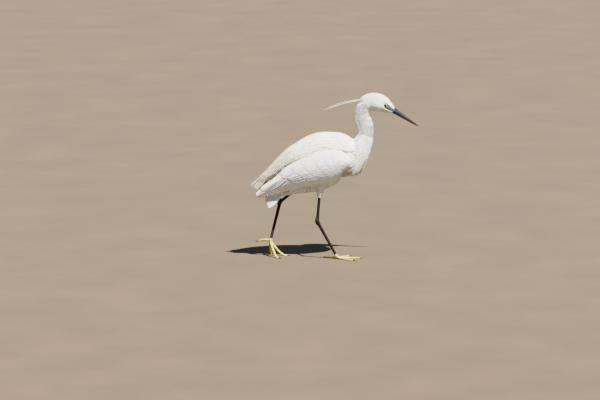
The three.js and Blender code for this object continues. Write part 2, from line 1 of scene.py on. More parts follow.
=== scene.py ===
import math
import bpy
import numpy as np
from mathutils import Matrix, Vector


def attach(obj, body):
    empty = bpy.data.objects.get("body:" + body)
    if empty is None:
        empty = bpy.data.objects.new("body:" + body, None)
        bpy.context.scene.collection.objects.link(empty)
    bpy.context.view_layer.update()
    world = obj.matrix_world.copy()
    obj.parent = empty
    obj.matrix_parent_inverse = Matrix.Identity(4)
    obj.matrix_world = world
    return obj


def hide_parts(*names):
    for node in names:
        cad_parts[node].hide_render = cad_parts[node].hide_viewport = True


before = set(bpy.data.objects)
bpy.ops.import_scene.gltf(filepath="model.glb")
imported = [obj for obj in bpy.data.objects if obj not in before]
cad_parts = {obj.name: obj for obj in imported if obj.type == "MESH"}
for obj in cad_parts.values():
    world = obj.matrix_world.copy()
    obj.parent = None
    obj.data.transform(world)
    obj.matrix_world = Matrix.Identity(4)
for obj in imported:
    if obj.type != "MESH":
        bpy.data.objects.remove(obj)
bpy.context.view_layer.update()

# A life-size little egret, walking, as a still model. The bird faces +X, and its left is +Y.
# Lengths are millimetres until meshOf turns them into metres.
random = np.random.default_rng(7)
centring = np.array([-0.7, 0.0, 0.0])  # the shift that the solids have, too


def mix(a, b, share):
    return a + (b - a) * share


def unit(v):
    return v / np.maximum(np.linalg.norm(v, axis=-1, keepdims=True), 1e-9)


def vary(count, size):
    return random.uniform(-size, size, count)


def srgb(code, alpha=1.0):
    parts = [int(code[i:i + 2], 16) / 255 for i in (0, 2, 4)]
    return tuple([p / 12.92 if p <= 0.04045 else ((p + 0.055) / 1.055) ** 2.4 for p in parts] + [alpha])


# Meshes
def paint(mesh, places):
    layer = mesh.color_attributes.new(name="tint", type="FLOAT_COLOR", domain="POINT")
    layer.data.foreach_set("color", markingsAndPaintedShade(places).astype(np.float32).ravel())


def meshOf(name, points, quads, material, stands=(), maps=(), places=None, mirrored=False):
    points = np.asarray(points, float).reshape(-1, 3)
    if mirrored:
        points = points * [1, -1, 1]
        quads = quads[:, ::-1]
    quads = np.ascontiguousarray(quads, dtype=np.int32)
    mesh = bpy.data.meshes.new(name)
    mesh.vertices.add(len(points))
    mesh.vertices.foreach_set("co", ((points + centring) * 0.001).astype(np.float32).ravel())
    mesh.loops.add(quads.size)
    mesh.loops.foreach_set("vertex_index", quads.ravel())
    mesh.polygons.add(len(quads))
    mesh.polygons.foreach_set("loop_start", np.arange(0, quads.size, 4, dtype=np.int32))
    mesh.polygons.foreach_set("loop_total", np.full(len(quads), 4, dtype=np.int32))
    mesh.polygons.foreach_set("use_smooth", np.ones(len(quads), dtype=bool))
    mesh.update(calc_edges=True)
    for mapName, values in maps:
        layer = mesh.uv_layers.new(name=mapName)
        layer.data.foreach_set("uv", values.reshape(-1, 2)[quads.ravel()].astype(np.float32).ravel())
    paint(mesh, points if places is None else places)
    mesh.materials.append(material)
    piece = bpy.data.objects.new(name, mesh)
    bpy.context.scene.collection.objects.link(piece)
    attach(piece, "root")
    if stands:
        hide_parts(*stands)
    return piece


# Quads between rings of points, and a cap over the first or the last ring
def ringQuads(rings, sides):
    r, k = np.meshgrid(np.arange(rings - 1), np.arange(sides), indexing="ij")
    a = r * sides + k
    b = r * sides + (k + 1) % sides
    return np.stack([a, b, b + sides, a + sides], axis=-1).reshape(-1, 4)


def capQuads(start, sides, last):
    cap = np.array([[k, k + 1, sides - 2 - k, sides - 1 - k] for k in range(sides // 2 - 1)]) + start
    return cap if last else cap[:, ::-1]


def closedQuads(rings, sides):
    ends = [capQuads(0, sides, False), capQuads((rings - 1) * sides, sides, True)]
    return np.concatenate([ringQuads(rings, sides)] + ends)


# A closed tube of rings. Each end ring is drawn in to its own middle, so that the ends are flat or pointed.
def tube(rings):
    rings = np.asarray(rings)
    ends = [mix(ring.mean(axis=0), ring, 0.05)[None] for ring in (rings[0], rings[-1])]
    full = np.concatenate([ends[0], rings, ends[1]])
    return full.reshape(-1, 3), closedQuads(*full.shape[:2])


# Curves and forms
def spline(points, share):
    points = np.asarray(points, float)
    last = len(points) - 1
    at = np.clip(np.asarray(share, float), 0, 1) * last
    i = np.minimum(at.astype(int), last - 1)
    w = (at - i)[..., None]
    p0, p1 = points[np.maximum(i - 1, 0)], points[i]
    p2, p3 = points[i + 1], points[np.minimum(i + 2, last)]
    v0, v1 = (p2 - p0) / 2, (p3 - p1) / 2
    return (2 * p1 - 2 * p2 + v0 + v1) * w ** 3 + (-3 * p1 + 3 * p2 - 2 * v0 - v1) * w ** 2 + v0 * w + p1


class Form:
    # Stations are [x, z, half depth, half width]. Angle 90 is the back, 0 the left side, -90 the underside.
    def __init__(self, stations):
        self.stations = np.array(stations, float)
        self.last = len(stations) - 1

    def bare(self, station, angle):
        share = np.clip(station / self.last, 1e-4, 1 - 1e-4)
        at = spline(self.stations, share)
        along = unit(spline(self.stations[:, :2], share + 1e-4) - spline(self.stations[:, :2], share - 1e-4))
        rise = at[..., 2] * np.sin(np.radians(angle))
        out = at[..., 3] * np.cos(np.radians(angle))
        return np.stack([at[..., 0] - along[..., 1] * rise, out, at[..., 1] + along[..., 0] * rise], axis=-1)

    def normal(self, station, angle):
        across = self.bare(station, angle + 1) - self.bare(station, angle - 1)
        along = self.bare(station + 0.02, angle) - self.bare(station - 0.02, angle)
        return unit(np.cross(across, along))

    def point(self, station, angle, lift=0.0):
        station, angle, lift = np.broadcast_arrays(*(np.asarray(v, float) for v in (station, angle, lift)))
        return self.bare(station, angle) + self.normal(station, angle) * lift[..., None]

    def rings(self, first, final, count, sides, lift=0.0):
        turns = np.arange(sides) * 360 / sides
        station, angle = np.meshgrid(np.linspace(first, final, count), turns, indexing="ij")
        return self.point(station, angle, lift)

    def holds(self, points, spare=0.0):
        share = np.linspace(0.001, 0.999, 160)
        at = spline(self.stations, share)
        along = unit(np.gradient(at[:, :2], axis=0))
        away = points[:, None, [0, 2]] - at[None, :, :2]
        ahead = np.abs((away * along).sum(-1))
        rise = away[..., 1] * along[:, 0] - away[..., 0] * along[:, 1]
        size = np.sqrt((rise / (at[:, 2] - spare)) ** 2 + (points[:, None, 1] / (at[:, 3] - spare)) ** 2)
        return np.where(ahead < 2.5, size, 9).min(axis=1) < 1


trunk = Form([
    [-207, 162, 7, 7], [-186, 174, 15, 12], [-161, 187, 24, 18], [-135, 200, 37, 27], [-105, 216, 52, 37],
    [-70, 234, 64, 45], [-28, 254, 68, 48], [5, 264, 58, 47], [30, 262, 46, 42], [50, 257, 36, 36],
    [66, 254, 29, 29], [78, 253, 18, 19], [85, 253, 6, 6]])
neck = Form([
    [38, 258, 32, 28], [54, 276, 32, 29], [70, 299, 24.5, 23], [80, 324, 19.5, 17.5], [79, 347, 19.5, 16.5],
    [71.5, 367, 19, 15.5], [70, 385, 18, 15], [79, 401, 18, 14.5], [94, 409, 19, 15]])
skull = Form([
    [63, 408, 5, 4.5], [70, 409, 13, 10], [84, 409.5, 20, 14.5], [102, 408.5, 23.5, 16],
    [119, 404, 22.5, 15.5], [133, 396.5, 17, 12.8], [143.5, 390.2, 11.6, 9.4], [151, 386.6, 8.2, 7.2]])
bill = Form([
    [144, 391.0, 6.6, 5.7], [151, 386.6, 7.3, 6.3], [160, 381, 6.3, 5.3], [175, 371.4, 5.1, 4.3],
    [192, 360.7, 3.8, 3.2], [207, 351.2, 2.3, 2], [216.5, 345.4, 0.5, 0.5]])


# Tints and painted shade by place, for the skin and for each feather's root. They multiply the white of the
# plumage: cream on the back, the crown and the forehead, and a green-grey painted shade under the jaw.
tintsAndPaintedShade = {
    "back": {"colour": "fffdf0", "strength": 0.9},
    "crown": {"colour": "fffdef", "strength": 0.8},
    "forehead": {"colour": "fffdec", "strength": 0.7},
    # the jaw's tint is painted shade, not a colour of the plumage
    "jaw": {"colour": "f0f5ed", "strength": 1.0},
}


def fade(value, start, end):
    return np.clip((value - start) / (end - start), 0, 1)


def markingsAndPaintedShade(places):
    x, z = places[..., 0], places[..., 2]
    middle, depth = (np.interp(x, trunk.stations[:, 0], trunk.stations[:, i]) for i in (1, 2))
    shares = {
        "back": fade(z, middle + 0.35 * depth, middle + 0.65 * depth + 2) * fade(x, 62, 32) * (z < 330),
        "crown": fade(z, 410, 420) * fade(x, 70, 100),
        "forehead": fade(x, 118, 130) * fade(z + 0.55 * (x - 133), 384, 390),
        # painted shade: a green-grey darkening below a line under the jaw
        "jaw": fade(z + 0.35 * (x - 119), 393, 383) * fade(x, 84, 98),
    }
    tint = np.ones(x.shape + (4,))
    for where, share in shares.items():
        spot = tintsAndPaintedShade[where]
        tint[..., :3] *= 1 - spot["strength"] * share[..., None] * (1 - np.array(srgb(spot["colour"])[:3]))
    return tint


# Materials. One place makes every node of every shader.
def addNode(tree, kind, inputs=(), **settings):
    node = tree.nodes.new(kind)
    for key, value in settings.items():
        setattr(node, key, value)
    for key, value in dict(inputs).items():
        socket = node.inputs[key]
        if isinstance(value, bpy.types.NodeSocket):
            tree.links.new(value, socket)
        else:
            socket.default_value = value
    return node


def newMaterial(name):
    material = bpy.data.materials.new(name)
    material.use_nodes = True
    tree = material.node_tree
    tree.nodes.clear()
    out = addNode(tree, "ShaderNodeOutputMaterial")
    where = addNode(tree, "ShaderNodeTexCoord").outputs["Object"]
    return material, tree, out, where


def perMetre(millimetres):  # the scale of a pattern whose cells are this wide
    return 1000 / millimetres


def ramp(tree, value, stops):
    node = addNode(tree, "ShaderNodeValToRGB", {"Fac": value})
    while len(node.color_ramp.elements) < len(stops):
        node.color_ramp.elements.new(0.5)
    for element, (place, colour) in zip(node.color_ramp.elements, stops):
        element.position = place
        element.color = colour
    return node.outputs["Color"]


def tinted(tree, plain):
    tint = addNode(tree, "ShaderNodeAttribute", attribute_name="tint")
    both = addNode(tree, "ShaderNodeMix", {0: 1.0, 6: plain, 7: tint.outputs["Color"]},
                   data_type="RGBA", blend_type="MULTIPLY")
    return both.outputs[2]


# Barbs of a closed vane, as slanting lines. Real ones stand 0.3 mm apart, which is too fine to show, so they
# are drawn coarser. The relief is in metres.
barbs = {"spacing": 0.9, "slant": 1.6, "relief": 0.0002, "strength": 0.25}


def barbLines(tree):
    flat = addNode(tree, "ShaderNodeUVMap", uv_map="vane")
    split = addNode(tree, "ShaderNodeSeparateXYZ", {"Vector": flat.outputs["UV"]})
    side = addNode(tree, "ShaderNodeMath", {0: split.outputs["X"]}, operation="ABSOLUTE")
    slant = addNode(tree, "ShaderNodeMath", {0: side.outputs[0], 1: -barbs["slant"], 2: split.outputs["Y"]},
                    operation="MULTIPLY_ADD")
    turns = 2 * math.pi * perMetre(barbs["spacing"])
    lines = addNode(tree, "ShaderNodeMath", {0: slant.outputs[0], 1: turns}, operation="MULTIPLY")
    wave = addNode(tree, "ShaderNodeMath", {0: lines.outputs[0]}, operation="SINE")
    bump = addNode(tree, "ShaderNodeBump", {
        "Height": wave.outputs[0], "Strength": barbs["strength"], "Distance": barbs["relief"]})
    return bump.outputs["Normal"]


# Feathers are keratin, grown as dry barbs: a matt white with a silky edge, which lets some light through.
def featherMaterial(name, white, cream, glow=0.22, rough=0.62, closed=True):
    material, tree, out, where = newMaterial(name)
    patches = addNode(tree, "ShaderNodeTexNoise", {"Vector": where, "Scale": perMetre(45.5), "Detail": 3.0})
    colour = tinted(tree, ramp(tree, patches.outputs["Fac"], [(0.38, srgb(white)), (0.72, srgb(cream))]))
    surface = {
        "Base Color": colour, "Roughness": rough, "Specular IOR Level": 0.3, "IOR": 1.55,
        "Sheen Weight": 0.25, "Sheen Roughness": 0.5}
    if closed:
        surface["Normal"] = barbLines(tree)
    principled = addNode(tree, "ShaderNodeBsdfPrincipled", surface)
    through = addNode(tree, "ShaderNodeBsdfTranslucent", {"Color": colour})
    both = addNode(tree, "ShaderNodeMixShader", {0: glow, 1: principled.outputs[0], 2: through.outputs[0]})
    tree.links.new(both.outputs[0], out.inputs["Surface"])
    return material


# Horn, scales and bare skin: a colour that drifts between two, every "drift" mm, with the drift or cells of
# "cells" mm as a relief, in metres.
def hornMaterial(name, look):
    material, tree, out, where = newMaterial(name)
    drift = addNode(tree, "ShaderNodeTexNoise", {
        "Vector": where, "Scale": perMetre(look["drift"]), "Detail": 4.0})
    colour = ramp(tree, drift.outputs["Fac"], [(0.35, srgb(look["dark"])), (0.7, srgb(look["light"]))])
    height = drift.outputs["Fac"]
    if "cells" in look:
        cells = addNode(tree, "ShaderNodeTexVoronoi", {"Vector": where, "Scale": perMetre(look["cells"])},
                        feature="DISTANCE_TO_EDGE")
        height = ramp(tree, cells.outputs["Distance"], [(0.0, (0, 0, 0, 1)), (0.12, (1, 1, 1, 1))])
    bump = addNode(tree, "ShaderNodeBump", {"Height": height, "Strength": 0.5, "Distance": look["relief"]})
    principled = addNode(tree, "ShaderNodeBsdfPrincipled", {
        "Base Color": colour, "Roughness": look["rough"], "IOR": 1.54,
        "Specular IOR Level": look.get("shine", 0.5), "Coat Weight": look.get("coat", 0.0),
        "Coat Roughness": 0.1, "Normal": bump.outputs["Normal"]})
    tree.links.new(principled.outputs[0], out.inputs["Surface"])
    return material


# Down on skin: dull white, seen only where the coat parts
bodySkin = featherMaterial("white_down_over_skin", "f3f1ea", "ece8da", glow=0.0, rough=0.8, closed=False)
# Contour feathers, soft and downy: warm white, a little creamy in patches
bodyFeather = featherMaterial("downy_contour_feathers", "f7f6f1", "f1efe2")
# Flight feathers, grown as tight vanes: the cleanest white, with crisp edges
flightFeather = featherMaterial("flight_feather_vanes", "f8f8f5", "efede0")
# Breeding plumes, grown as loose threads: ivory, and they glow against the light
plumeFeather = featherMaterial("loose_breeding_plumes", "fbf9f0", "f4f0de", glow=0.4, closed=False)
# Bill: horn, worn smooth, so near black with a soft shine
billHorn = hornMaterial("bill_horn", {
    "dark": "0e0e10", "light": "1c1d21", "rough": 0.34, "drift": 3.85, "relief": 0.00012, "coat": 0.1,
    "shine": 0.35})
# Bare skin before the eye: blue-grey, finely grained and matt
loreSkin = hornMaterial("bare_lore_skin", {
    "dark": "262b30", "light": "454c50", "rough": 0.5, "drift": 2.38, "relief": 0.0002, "cells": 1.11})
# Bare skin of the lids: a paler grey, close to smooth
lidSkin = hornMaterial("lid_skin", {
    "dark": "3a3f44", "light": "565b5c", "rough": 0.5, "drift": 2.0, "relief": 0.0001})
# Claws: horn, grown to a point, dark brown and rather shiny
clawHorn = hornMaterial("claw_horn", {
    "dark": "0d0c0c", "light": "221e1b", "rough": 0.3, "drift": 2.5, "relief": 0.00008})
# Legs: horny scutes with furrows between them, brown-black and dull
blackScute = hornMaterial("tarsus_scutes", {
    "dark": "080402", "light": "150b06", "rough": 0.55, "drift": 5.56, "relief": 0.0003, "cells": 2.38,
    "shine": 0.2})
# Toes: smaller scutes, yellow with a green tinge
yellowScute = hornMaterial("toe_scutes", {
    "dark": "8f8426", "light": "c9bb4c", "rough": 0.45, "drift": 4.76, "relief": 0.00025, "cells": 1.92})

eyeSize = {
    "x": 129.0, "y": 10.4, "z": 403.2, "radius": 5.0, "pupil": 0.58, "iris": 0.79, "rim": 0.85,
    "black": "050505", "pale": "d8cd86", "deep": "8a7a3c", "lidRadius": 4.5, "lidThick": 0.8}


def eyeCentre(side):
    return np.array([eyeSize["x"], side * eyeSize["y"], eyeSize["z"]])


# Eye: a wet, clear front over a black pupil and a pale yellow iris with a dark rim. They are painted by the
# distance from the axis that the eye looks along, as a share of its radius.
def eyeMaterial(name, side):
    material, tree, out, where = newMaterial(name)
    middle = tuple((eyeCentre(side) + centring) * 0.001)
    away = addNode(tree, "ShaderNodeVectorMath", {0: where, 1: middle}, operation="SUBTRACT")
    split = addNode(tree, "ShaderNodeSeparateXYZ", {"Vector": away.outputs[0]})
    flat = addNode(tree, "ShaderNodeCombineXYZ", {"X": split.outputs["X"], "Y": split.outputs["Z"]})
    far = addNode(tree, "ShaderNodeVectorMath", {0: flat.outputs[0]}, operation="LENGTH")
    share = addNode(tree, "ShaderNodeMath", {0: far.outputs["Value"], 1: perMetre(eyeSize["radius"])},
                    operation="MULTIPLY")
    black, pale, deep = (srgb(eyeSize[key]) for key in ("black", "pale", "deep"))
    pupil, iris = eyeSize["pupil"], eyeSize["iris"]
    colour = ramp(tree, share.outputs[0], [
        (0.0, black), (pupil, black), (pupil + 0.03, deep), (pupil + 0.08, pale), (iris, pale),
        (eyeSize["rim"], black)])
    principled = addNode(tree, "ShaderNodeBsdfPrincipled", {
        "Base Color": colour, "Roughness": 0.08, "IOR": 1.38, "Coat Weight": 1.0, "Coat Roughness": 0.02})
    tree.links.new(principled.outputs[0], out.inputs["Surface"])
    return material


print("materials made")


# Blades: closed vanes. centre, across and out are (count, stations, 3), half and thick (count, stations).
# Gives the points, the quads, a flat map in metres for the barbs, and each tuft's patch for the bake.
tuftPatch = {"wide": 0.0026, "long": 0.003}


def blades(centre, across, out, half, thick, camber=0.15, columns=3, quill=0.0):
    count, stations = half.shape
    edge = np.linspace(1, -1, columns)
    places = np.concatenate([edge, edge[1:-1][::-1]])
    face = np.concatenate([[0.0], np.ones(columns - 2), [0.0], -np.ones(columns - 2)])
    spread = half[..., None] * places
    bulge = np.sqrt(1 - places ** 2) * 0.5 + 0.15
    lift = half[..., None] * camber * (1 - places ** 2) + thick[..., None] * face * bulge
    lift = lift + quill * np.exp(-(places / 0.12) ** 2) * face * np.linspace(1, 0.2, stations)[None, :, None]
    points = centre[:, :, None] + across[:, :, None] * spread[..., None] + out[:, :, None] * lift[..., None]
    sides = len(places)
    starts = np.arange(count) * stations * sides
    quads = (closedQuads(stations, sides)[None] + starts[:, None, None]).reshape(-1, 4)
    reach = np.linalg.norm(np.diff(centre, axis=1), axis=-1).sum(axis=1)
    run = np.linspace(0, 0.001, stations)[None, :, None] * reach[:, None, None]
    flat = np.stack([spread * 0.001, np.broadcast_to(run, spread.shape)], axis=-1)
    down = np.linspace(-0.5, 0.5, stations)[:, None] * tuftPatch["long"]
    patch = np.stack(np.broadcast_arrays(places * 0.5 * tuftPatch["wide"], down), axis=-1)
    return points, quads, flat, np.broadcast_to(patch, (count,) + patch.shape)


# Vanes along a surface from one place to another. surface(u, v, height) gives points. A vane's dictionary has
# its thickness, its stations and columns of points, how much it is crowned (camber) and leans over the next
# one (tilt), and how high its quill stands.
def lay(surface, start, end, lift, width, shape, thick, stations=5, columns=3, camber=0.15, tilt=0.1,
        quill=0.0):
    share = 1 - (1 - np.linspace(0, 1, stations)) ** 1.25
    u = mix(start[:, :1], end[:, :1], share)
    v = mix(start[:, 1:], end[:, 1:], share)
    height = mix(lift[:, :1], lift[:, 1:], np.sqrt(share))
    centre = surface(u, v, height)
    out = unit(surface(u, v, height + 1) - centre)
    along = unit(np.gradient(centre, axis=1))
    across = unit(np.cross(out, along))
    out = unit(out + across * tilt)
    across = unit(np.cross(out, along))
    half = 0.5 * width[:, None] * shape(share)
    return blades(centre, across, out, half, np.broadcast_to(thick, half.shape), camber, columns, quill)


# How wide a feather is along its length
def roundedVane(share):
    tip = np.sqrt(np.maximum(0.02, 1 - ((share - 0.6) / 0.405) ** 2))
    return np.where(share < 0.6, mix(0.5, 1, share / 0.6), tip)


def lanceVane(share):
    return np.where(share < 0.3, mix(0.55, 1, share / 0.3), mix(1, 0.06, ((share - 0.3) / 0.7) ** 1.15))


def softVane(share):
    return np.sqrt(np.maximum(0.02, 1 - ((share - 0.45) / 0.56) ** 2))


coatSize = []


# One kind of feather as pieces of under 200,000 triangles. Each tuft takes its tint, cream and painted shade,
# from the place of its root, and its patch lies there on the unwrap of the skin.
def coat(name, made, rootMap, material, stands=(), mirrored=False, most=190000):
    points, quads, flat, bake = made
    count = len(points)
    each = len(quads) // count
    step = max(1, most // (2 * each))
    for number, first in enumerate(range(0, count, step)):
        chosen = slice(first, min(count, first + step))
        some = points[chosen]
        patch = bake[chosen] + rootMap[chosen, None, None]
        roots = np.broadcast_to(some[:, :1].mean(axis=2, keepdims=True), some.shape).reshape(-1, 3)
        meshOf(f"{name}_{number}", some, quads[:len(some) * each], material, stands,
               (("OFBake", patch), ("vane", flat[chosen])), roots, mirrored)
    coatSize.append(len(quads) * 2)


# The skin's unwrap: a strip of the map for each region, as (start, width)
unwrapStrips = {
    "trunk": (0.02, 0.38), "neck": (0.42, 0.18), "head": (0.62, 0.12), "wing": (0.76, 0.12),
    "mantle": (0.9, 0.08)}


def unwrap(region, u, v):
    start, width = unwrapStrips[region]
    return np.stack([start + width * np.clip(u, 0, 1), 0.02 + 0.96 * np.clip(v, 0, 1)], axis=-1)


def joined(parts):  # tubes as one list of points and one of quads
    starts = np.cumsum([0] + [len(points) for points, _ in parts])
    quads = [faces + start for (_, faces), start in zip(parts, starts)]
    return np.concatenate([points for points, _ in parts]), np.concatenate(quads)


# Skin: trunk, neck and skull fused into one smooth form, inside the solids by the coat's depth.
# Each form has its first and last station, how many rings and sides, and the depth.
skinSize = {
    "forms": [(trunk, 2.2, 9.9, 70, 64, -3.0), (neck, 0, 8, 60, 56, -1.4), (skull, 0, 6.9, 48, 48, -0.8)],
    "voxel": 1.6, "easing": 6}


def makeSkin():
    points, quads = joined([tube(form.rings(*sizes)) for form, *sizes in skinSize["forms"]])
    skin = meshOf("skin", points, quads, bodySkin,
                  ("head", "neck_upper", "neck_lower", "torso", "thigh_left", "thigh_right"))
    fuse = skin.modifiers.new("fuse", "REMESH")
    fuse.mode = "VOXEL"
    fuse.voxel_size = skinSize["voxel"] * 0.001
    fuse.use_smooth_shade = True
    ease = skin.modifiers.new("ease", "SMOOTH")
    ease.factor = 0.5
    ease.iterations = skinSize["easing"]
    bpy.context.view_layer.update()
    shown = skin.evaluated_get(bpy.context.evaluated_depsgraph_get())
    fused = bpy.data.meshes.new_from_object(shown)
    skin.modifiers.clear()
    skin.data = fused
    places = np.empty(len(fused.vertices) * 3, np.float32)
    fused.vertices.foreach_get("co", places)
    for old in list(fused.color_attributes):
        fused.color_attributes.remove(old)
    paint(fused, places.reshape(-1, 3) * 1000 - centring)


makeSkin()
print("skin made")


def scatter(count):  # an even scatter over a unit square
    i = np.arange(count)
    return np.stack([(i + 0.5) / count, (i * 0.61803399) % 1.0], axis=-1)


bodyVane = {"thick": 0.14, "stations": 4, "tilt": 0.05}


# Body coat on a form. Feathers point tailwards, and small ones stand closer. Length and width go by station.
def formCoat(name, form, region, size, keep, shape=softVane):
    count = size["count"]
    low, high = zip(size["stations"], size["angles"])
    place = random.uniform(low, high, (count * 4, 2))
    station, angle = place.T
    step = np.cross(form.point(station + 0.05, angle) - form.point(station - 0.05, angle),
                    form.point(station, angle + 2) - form.point(station, angle - 2))
    each = np.interp(station, *size["length"]) * np.interp(station, *size["width"])
    share = np.linalg.norm(step, axis=-1) / each
    station, angle = place[random.choice(len(place), count, replace=False, p=share / share.sum())].T
    speed = np.linalg.norm(form.point(station + 0.1, angle) - form.point(station - 0.1, angle), axis=-1) / 0.2
    reach = np.interp(station, *size["length"]) * (1 + vary(count, 0.18)) / np.maximum(speed, 6)
    chosen = keep(station, angle, form.point(station, angle), form.point(station - reach, angle))
    station, angle, reach = station[chosen], angle[chosen], reach[chosen]
    count = len(station)
    start = np.stack([station, angle], axis=-1)
    rear = np.maximum(station - reach, np.minimum(station, 0.9))  # none runs into the form's blunt end
    end = np.stack([rear, angle + vary(count, size["drift"])], axis=-1)
    bottom, top = size["lift"]
    heights = np.stack([np.full(count, bottom), top * (1 + vary(count, 0.5))], axis=-1)
    wide = np.interp(station, *size["width"]) * (1 + vary(count, 0.15))
    made = lay(form.point, start, end, heights, wide, shape, **bodyVane)
    coat(name, made, unwrap(region, station / form.last, (angle % 360) / 360), bodyFeather)


# The folded wing's edges on the trunk, as angles by station, and how far it stands out
wingEdge = {
    "low": ([0, 1, 2, 3, 4, 5, 6, 6.6, 7.2, 8, 8.7], [-70, -58, -44, -32, -28, -36, -48, -52, -46, -30, -10]),
    "high": ([0, 1, 3, 4, 5, 6, 7, 8, 8.7], [55, 46, 46, 42, 34, 28, 25, 16, 4]),
    "thick": ([0, 2, 4, 6, 7.4, 8.2, 8.7], [1.4, 2.5, 5, 8.5, 9, 6, 2]),
}


def wingPlace(u, v):
    station = mix(8.7, 0.02, u)
    angle = mix(np.interp(station, *wingEdge["high"]), np.interp(station, *wingEdge["low"]), v)
    return station, angle


def wingSurface(u, v, height):
    station, angle = wingPlace(u, v)
    swell = np.sqrt(np.sin(np.pi * mix(0.04, 0.94, np.clip(v, 0, 1))))
    return trunk.point(station, angle, 0.8 + np.interp(station, *wingEdge["thick"]) * swell + height)


def leftAngle(angle):  # the angle as if the place were on the left side
    turned = (angle + 180) % 360 - 180
    return np.where(np.abs(turned) > 90, np.sign(turned) * 180 - turned, turned)


# Each coat's keep function says which feathers stay, from their station, angle, root and tip.
def bellyKeep(station, angle, roots, tips):
    low = np.interp(station, *wingEdge["low"]) + 6
    underWing = (station < 8.6) & (leftAngle(angle) > low)
    return ~underWing & ~neck.holds(roots, 1.5)


def shoulderKeep(station, angle, roots, tips):
    return np.abs(leftAngle(angle) - np.interp(station, [7.2, 8, 9.2], [24, 24, 38])) < 11


def ventKeep(station, angle, roots, tips):
    return np.abs(leftAngle(angle)) > 48


def neckKeep(station, angle, roots, tips):
    return ~trunk.holds(roots, 1.5) & ~skull.holds(roots, 1.2)


# The bare lore's edges on the skull, as angles by station
loreEdge = {
    "low": ([4.4, 4.7, 5.4, 6.9], [4, -12, -20, -26]),
    "high": ([4.4, 4.7, 5.4, 6.9], [26, 37, 34, 40])}


def headKeep(station, angle, roots, tips):
    turned = leftAngle(angle)
    low, high = (np.interp(station, *loreEdge[key]) for key in ("low", "high"))
    bare = (station > 4.5) & (turned > low + 2) & (turned < high - 2)
    spot = np.array([eyeSize["x"], eyeSize["z"]])
    start, run = roots[:, [0, 2]], (tips - roots)[:, [0, 2]]
    nearest = np.clip(((spot - start) * run).sum(-1) / np.maximum((run ** 2).sum(-1), 1e-6), 0, 1)
    overEye = np.linalg.norm(start + run * nearest[:, None] - spot, axis=-1) < eyeSize["radius"] + 0.6
    return ~bare & ~(overEye & (np.abs(turned) < 70)) & ~neck.holds(roots, 1.2)


bellyCoat = {
    "count": 5800, "stations": (1.2, 9.5), "angles": (-180, 180), "lift": (-2.2, 0.35), "drift": 8.0,
    "length": ([2, 5, 9, 11], [27, 24, 16, 12]), "width": ([2, 5, 9, 11], [8, 8.5, 6, 4.5])}
shoulderCoat = {
    "count": 620, "stations": (7.2, 9.2), "angles": (0, 180), "lift": (1.4, 2.6), "drift": 8.0,
    "length": ([8], [14]), "width": ([8], [4.6])}
ventCoat = {
    "count": 700, "stations": (0.9, 3.4), "angles": (-150, -30), "lift": (-2.0, 3.0), "drift": 8.0,
    "length": ([2], [30]), "width": ([2], [7.5])}
neckCoat = {
    "count": 11000, "stations": (0.4, 8), "angles": (-180, 180), "lift": (-1.2, 0.12), "drift": 8.0,
    "length": ([0.4, 2, 4, 8], [24, 20, 15, 10]), "width": ([0.4, 2, 4, 8], [3.4, 2.6, 2.0, 1.6])}
headCoat = {
    "count": 10600, "stations": (0.3, 6.95), "angles": (-180, 180), "lift": (-0.75, 0.1), "drift": 6.0,
    "length": ([0.3, 3, 5, 7], [12, 9.5, 6, 3.4]), "width": ([0.3, 3, 5, 7], [1.9, 1.6, 1.2, 0.8])}

formCoat("belly_feathers", trunk, "trunk", bellyCoat, bellyKeep)
formCoat("shoulder_feathers", trunk, "trunk", shoulderCoat, shoulderKeep)
formCoat("vent_feathers", trunk, "trunk", ventCoat, ventKeep, lanceVane)
formCoat("neck_feathers", neck, "neck", neckCoat, neckKeep)
formCoat("head_feathers", skull, "head", headCoat, headKeep)

# Small feathers round each eye, swept back, and the bare skin between the eye and the bill
lidCoat = {"count": 420, "inner": 5.6, "outer": 8.6, "width": 0.7, "lift": (-0.3, 0.3)}
lidVane = {"thick": 0.08, "stations": 4}
loreSize = {"first": 4.42, "last": 7.0, "under": 0.35, "deep": 2.2, "fold": 0.13, "folds": 26}


def lidSurface(u, v, height):
    radius, turn = mix(lidCoat["inner"], lidCoat["outer"], u), 2 * np.pi * v
    return np.stack([
        eyeSize["x"] + radius * np.cos(turn) * 1.08 - 1.4 * u,
        eyeSize["y"] + 2.3 + 0.5 * np.sin(np.pi * u) + height,
        eyeSize["z"] + radius * np.sin(turn)], axis=-1)


def lidFeathers():
    place = scatter(lidCoat["count"])
    forward = np.cos(2 * np.pi * place[:, 1])
    place = place[forward < np.where(place[:, 1] > 0.5, -0.12, 0.3)]
    end = place * [0.4, 1] + [0.6, 0] + random.normal(0, 0.01, place.shape)
    wide = np.full(len(place), lidCoat["width"])
    lift = np.tile(lidCoat["lift"], (len(place), 1))
    made = lay(lidSurface, place * [0.45, 1], end, lift, wide, softVane, **lidVane)
    return made, unwrap("head", place[:, 0], place[:, 1])


def loreRings():
    stations = np.linspace(loreSize["first"], loreSize["last"], 60)
    station, share = np.meshgrid(stations, np.linspace(0, 1, 24), indexing="ij")
    waves = np.sin(share * loreSize["folds"] + 3 * np.sin(station * 3)) * np.sin(np.pi * share)
    turned = mix(np.interp(station, *loreEdge["low"]), np.interp(station, *loreEdge["high"]), share)
    face = skull.point(station, turned, loreSize["fold"] * waves - loreSize["under"])
    back = skull.point(station, turned[:, ::-1], -loreSize["deep"])
    return np.concatenate([face, back], axis=1)


lidMade, lidMap = lidFeathers()
lorePoints, loreQuads = tube(loreRings())
for side, mirrored in (("left", False), ("right", True)):
    coat(f"lid_feathers_{side}", lidMade, lidMap, bodyFeather, ("head",), mirrored)
    meshOf(f"lores_{side}", lorePoints, loreQuads, loreSkin, ("head",), mirrored=mirrored)
print("body coat made")


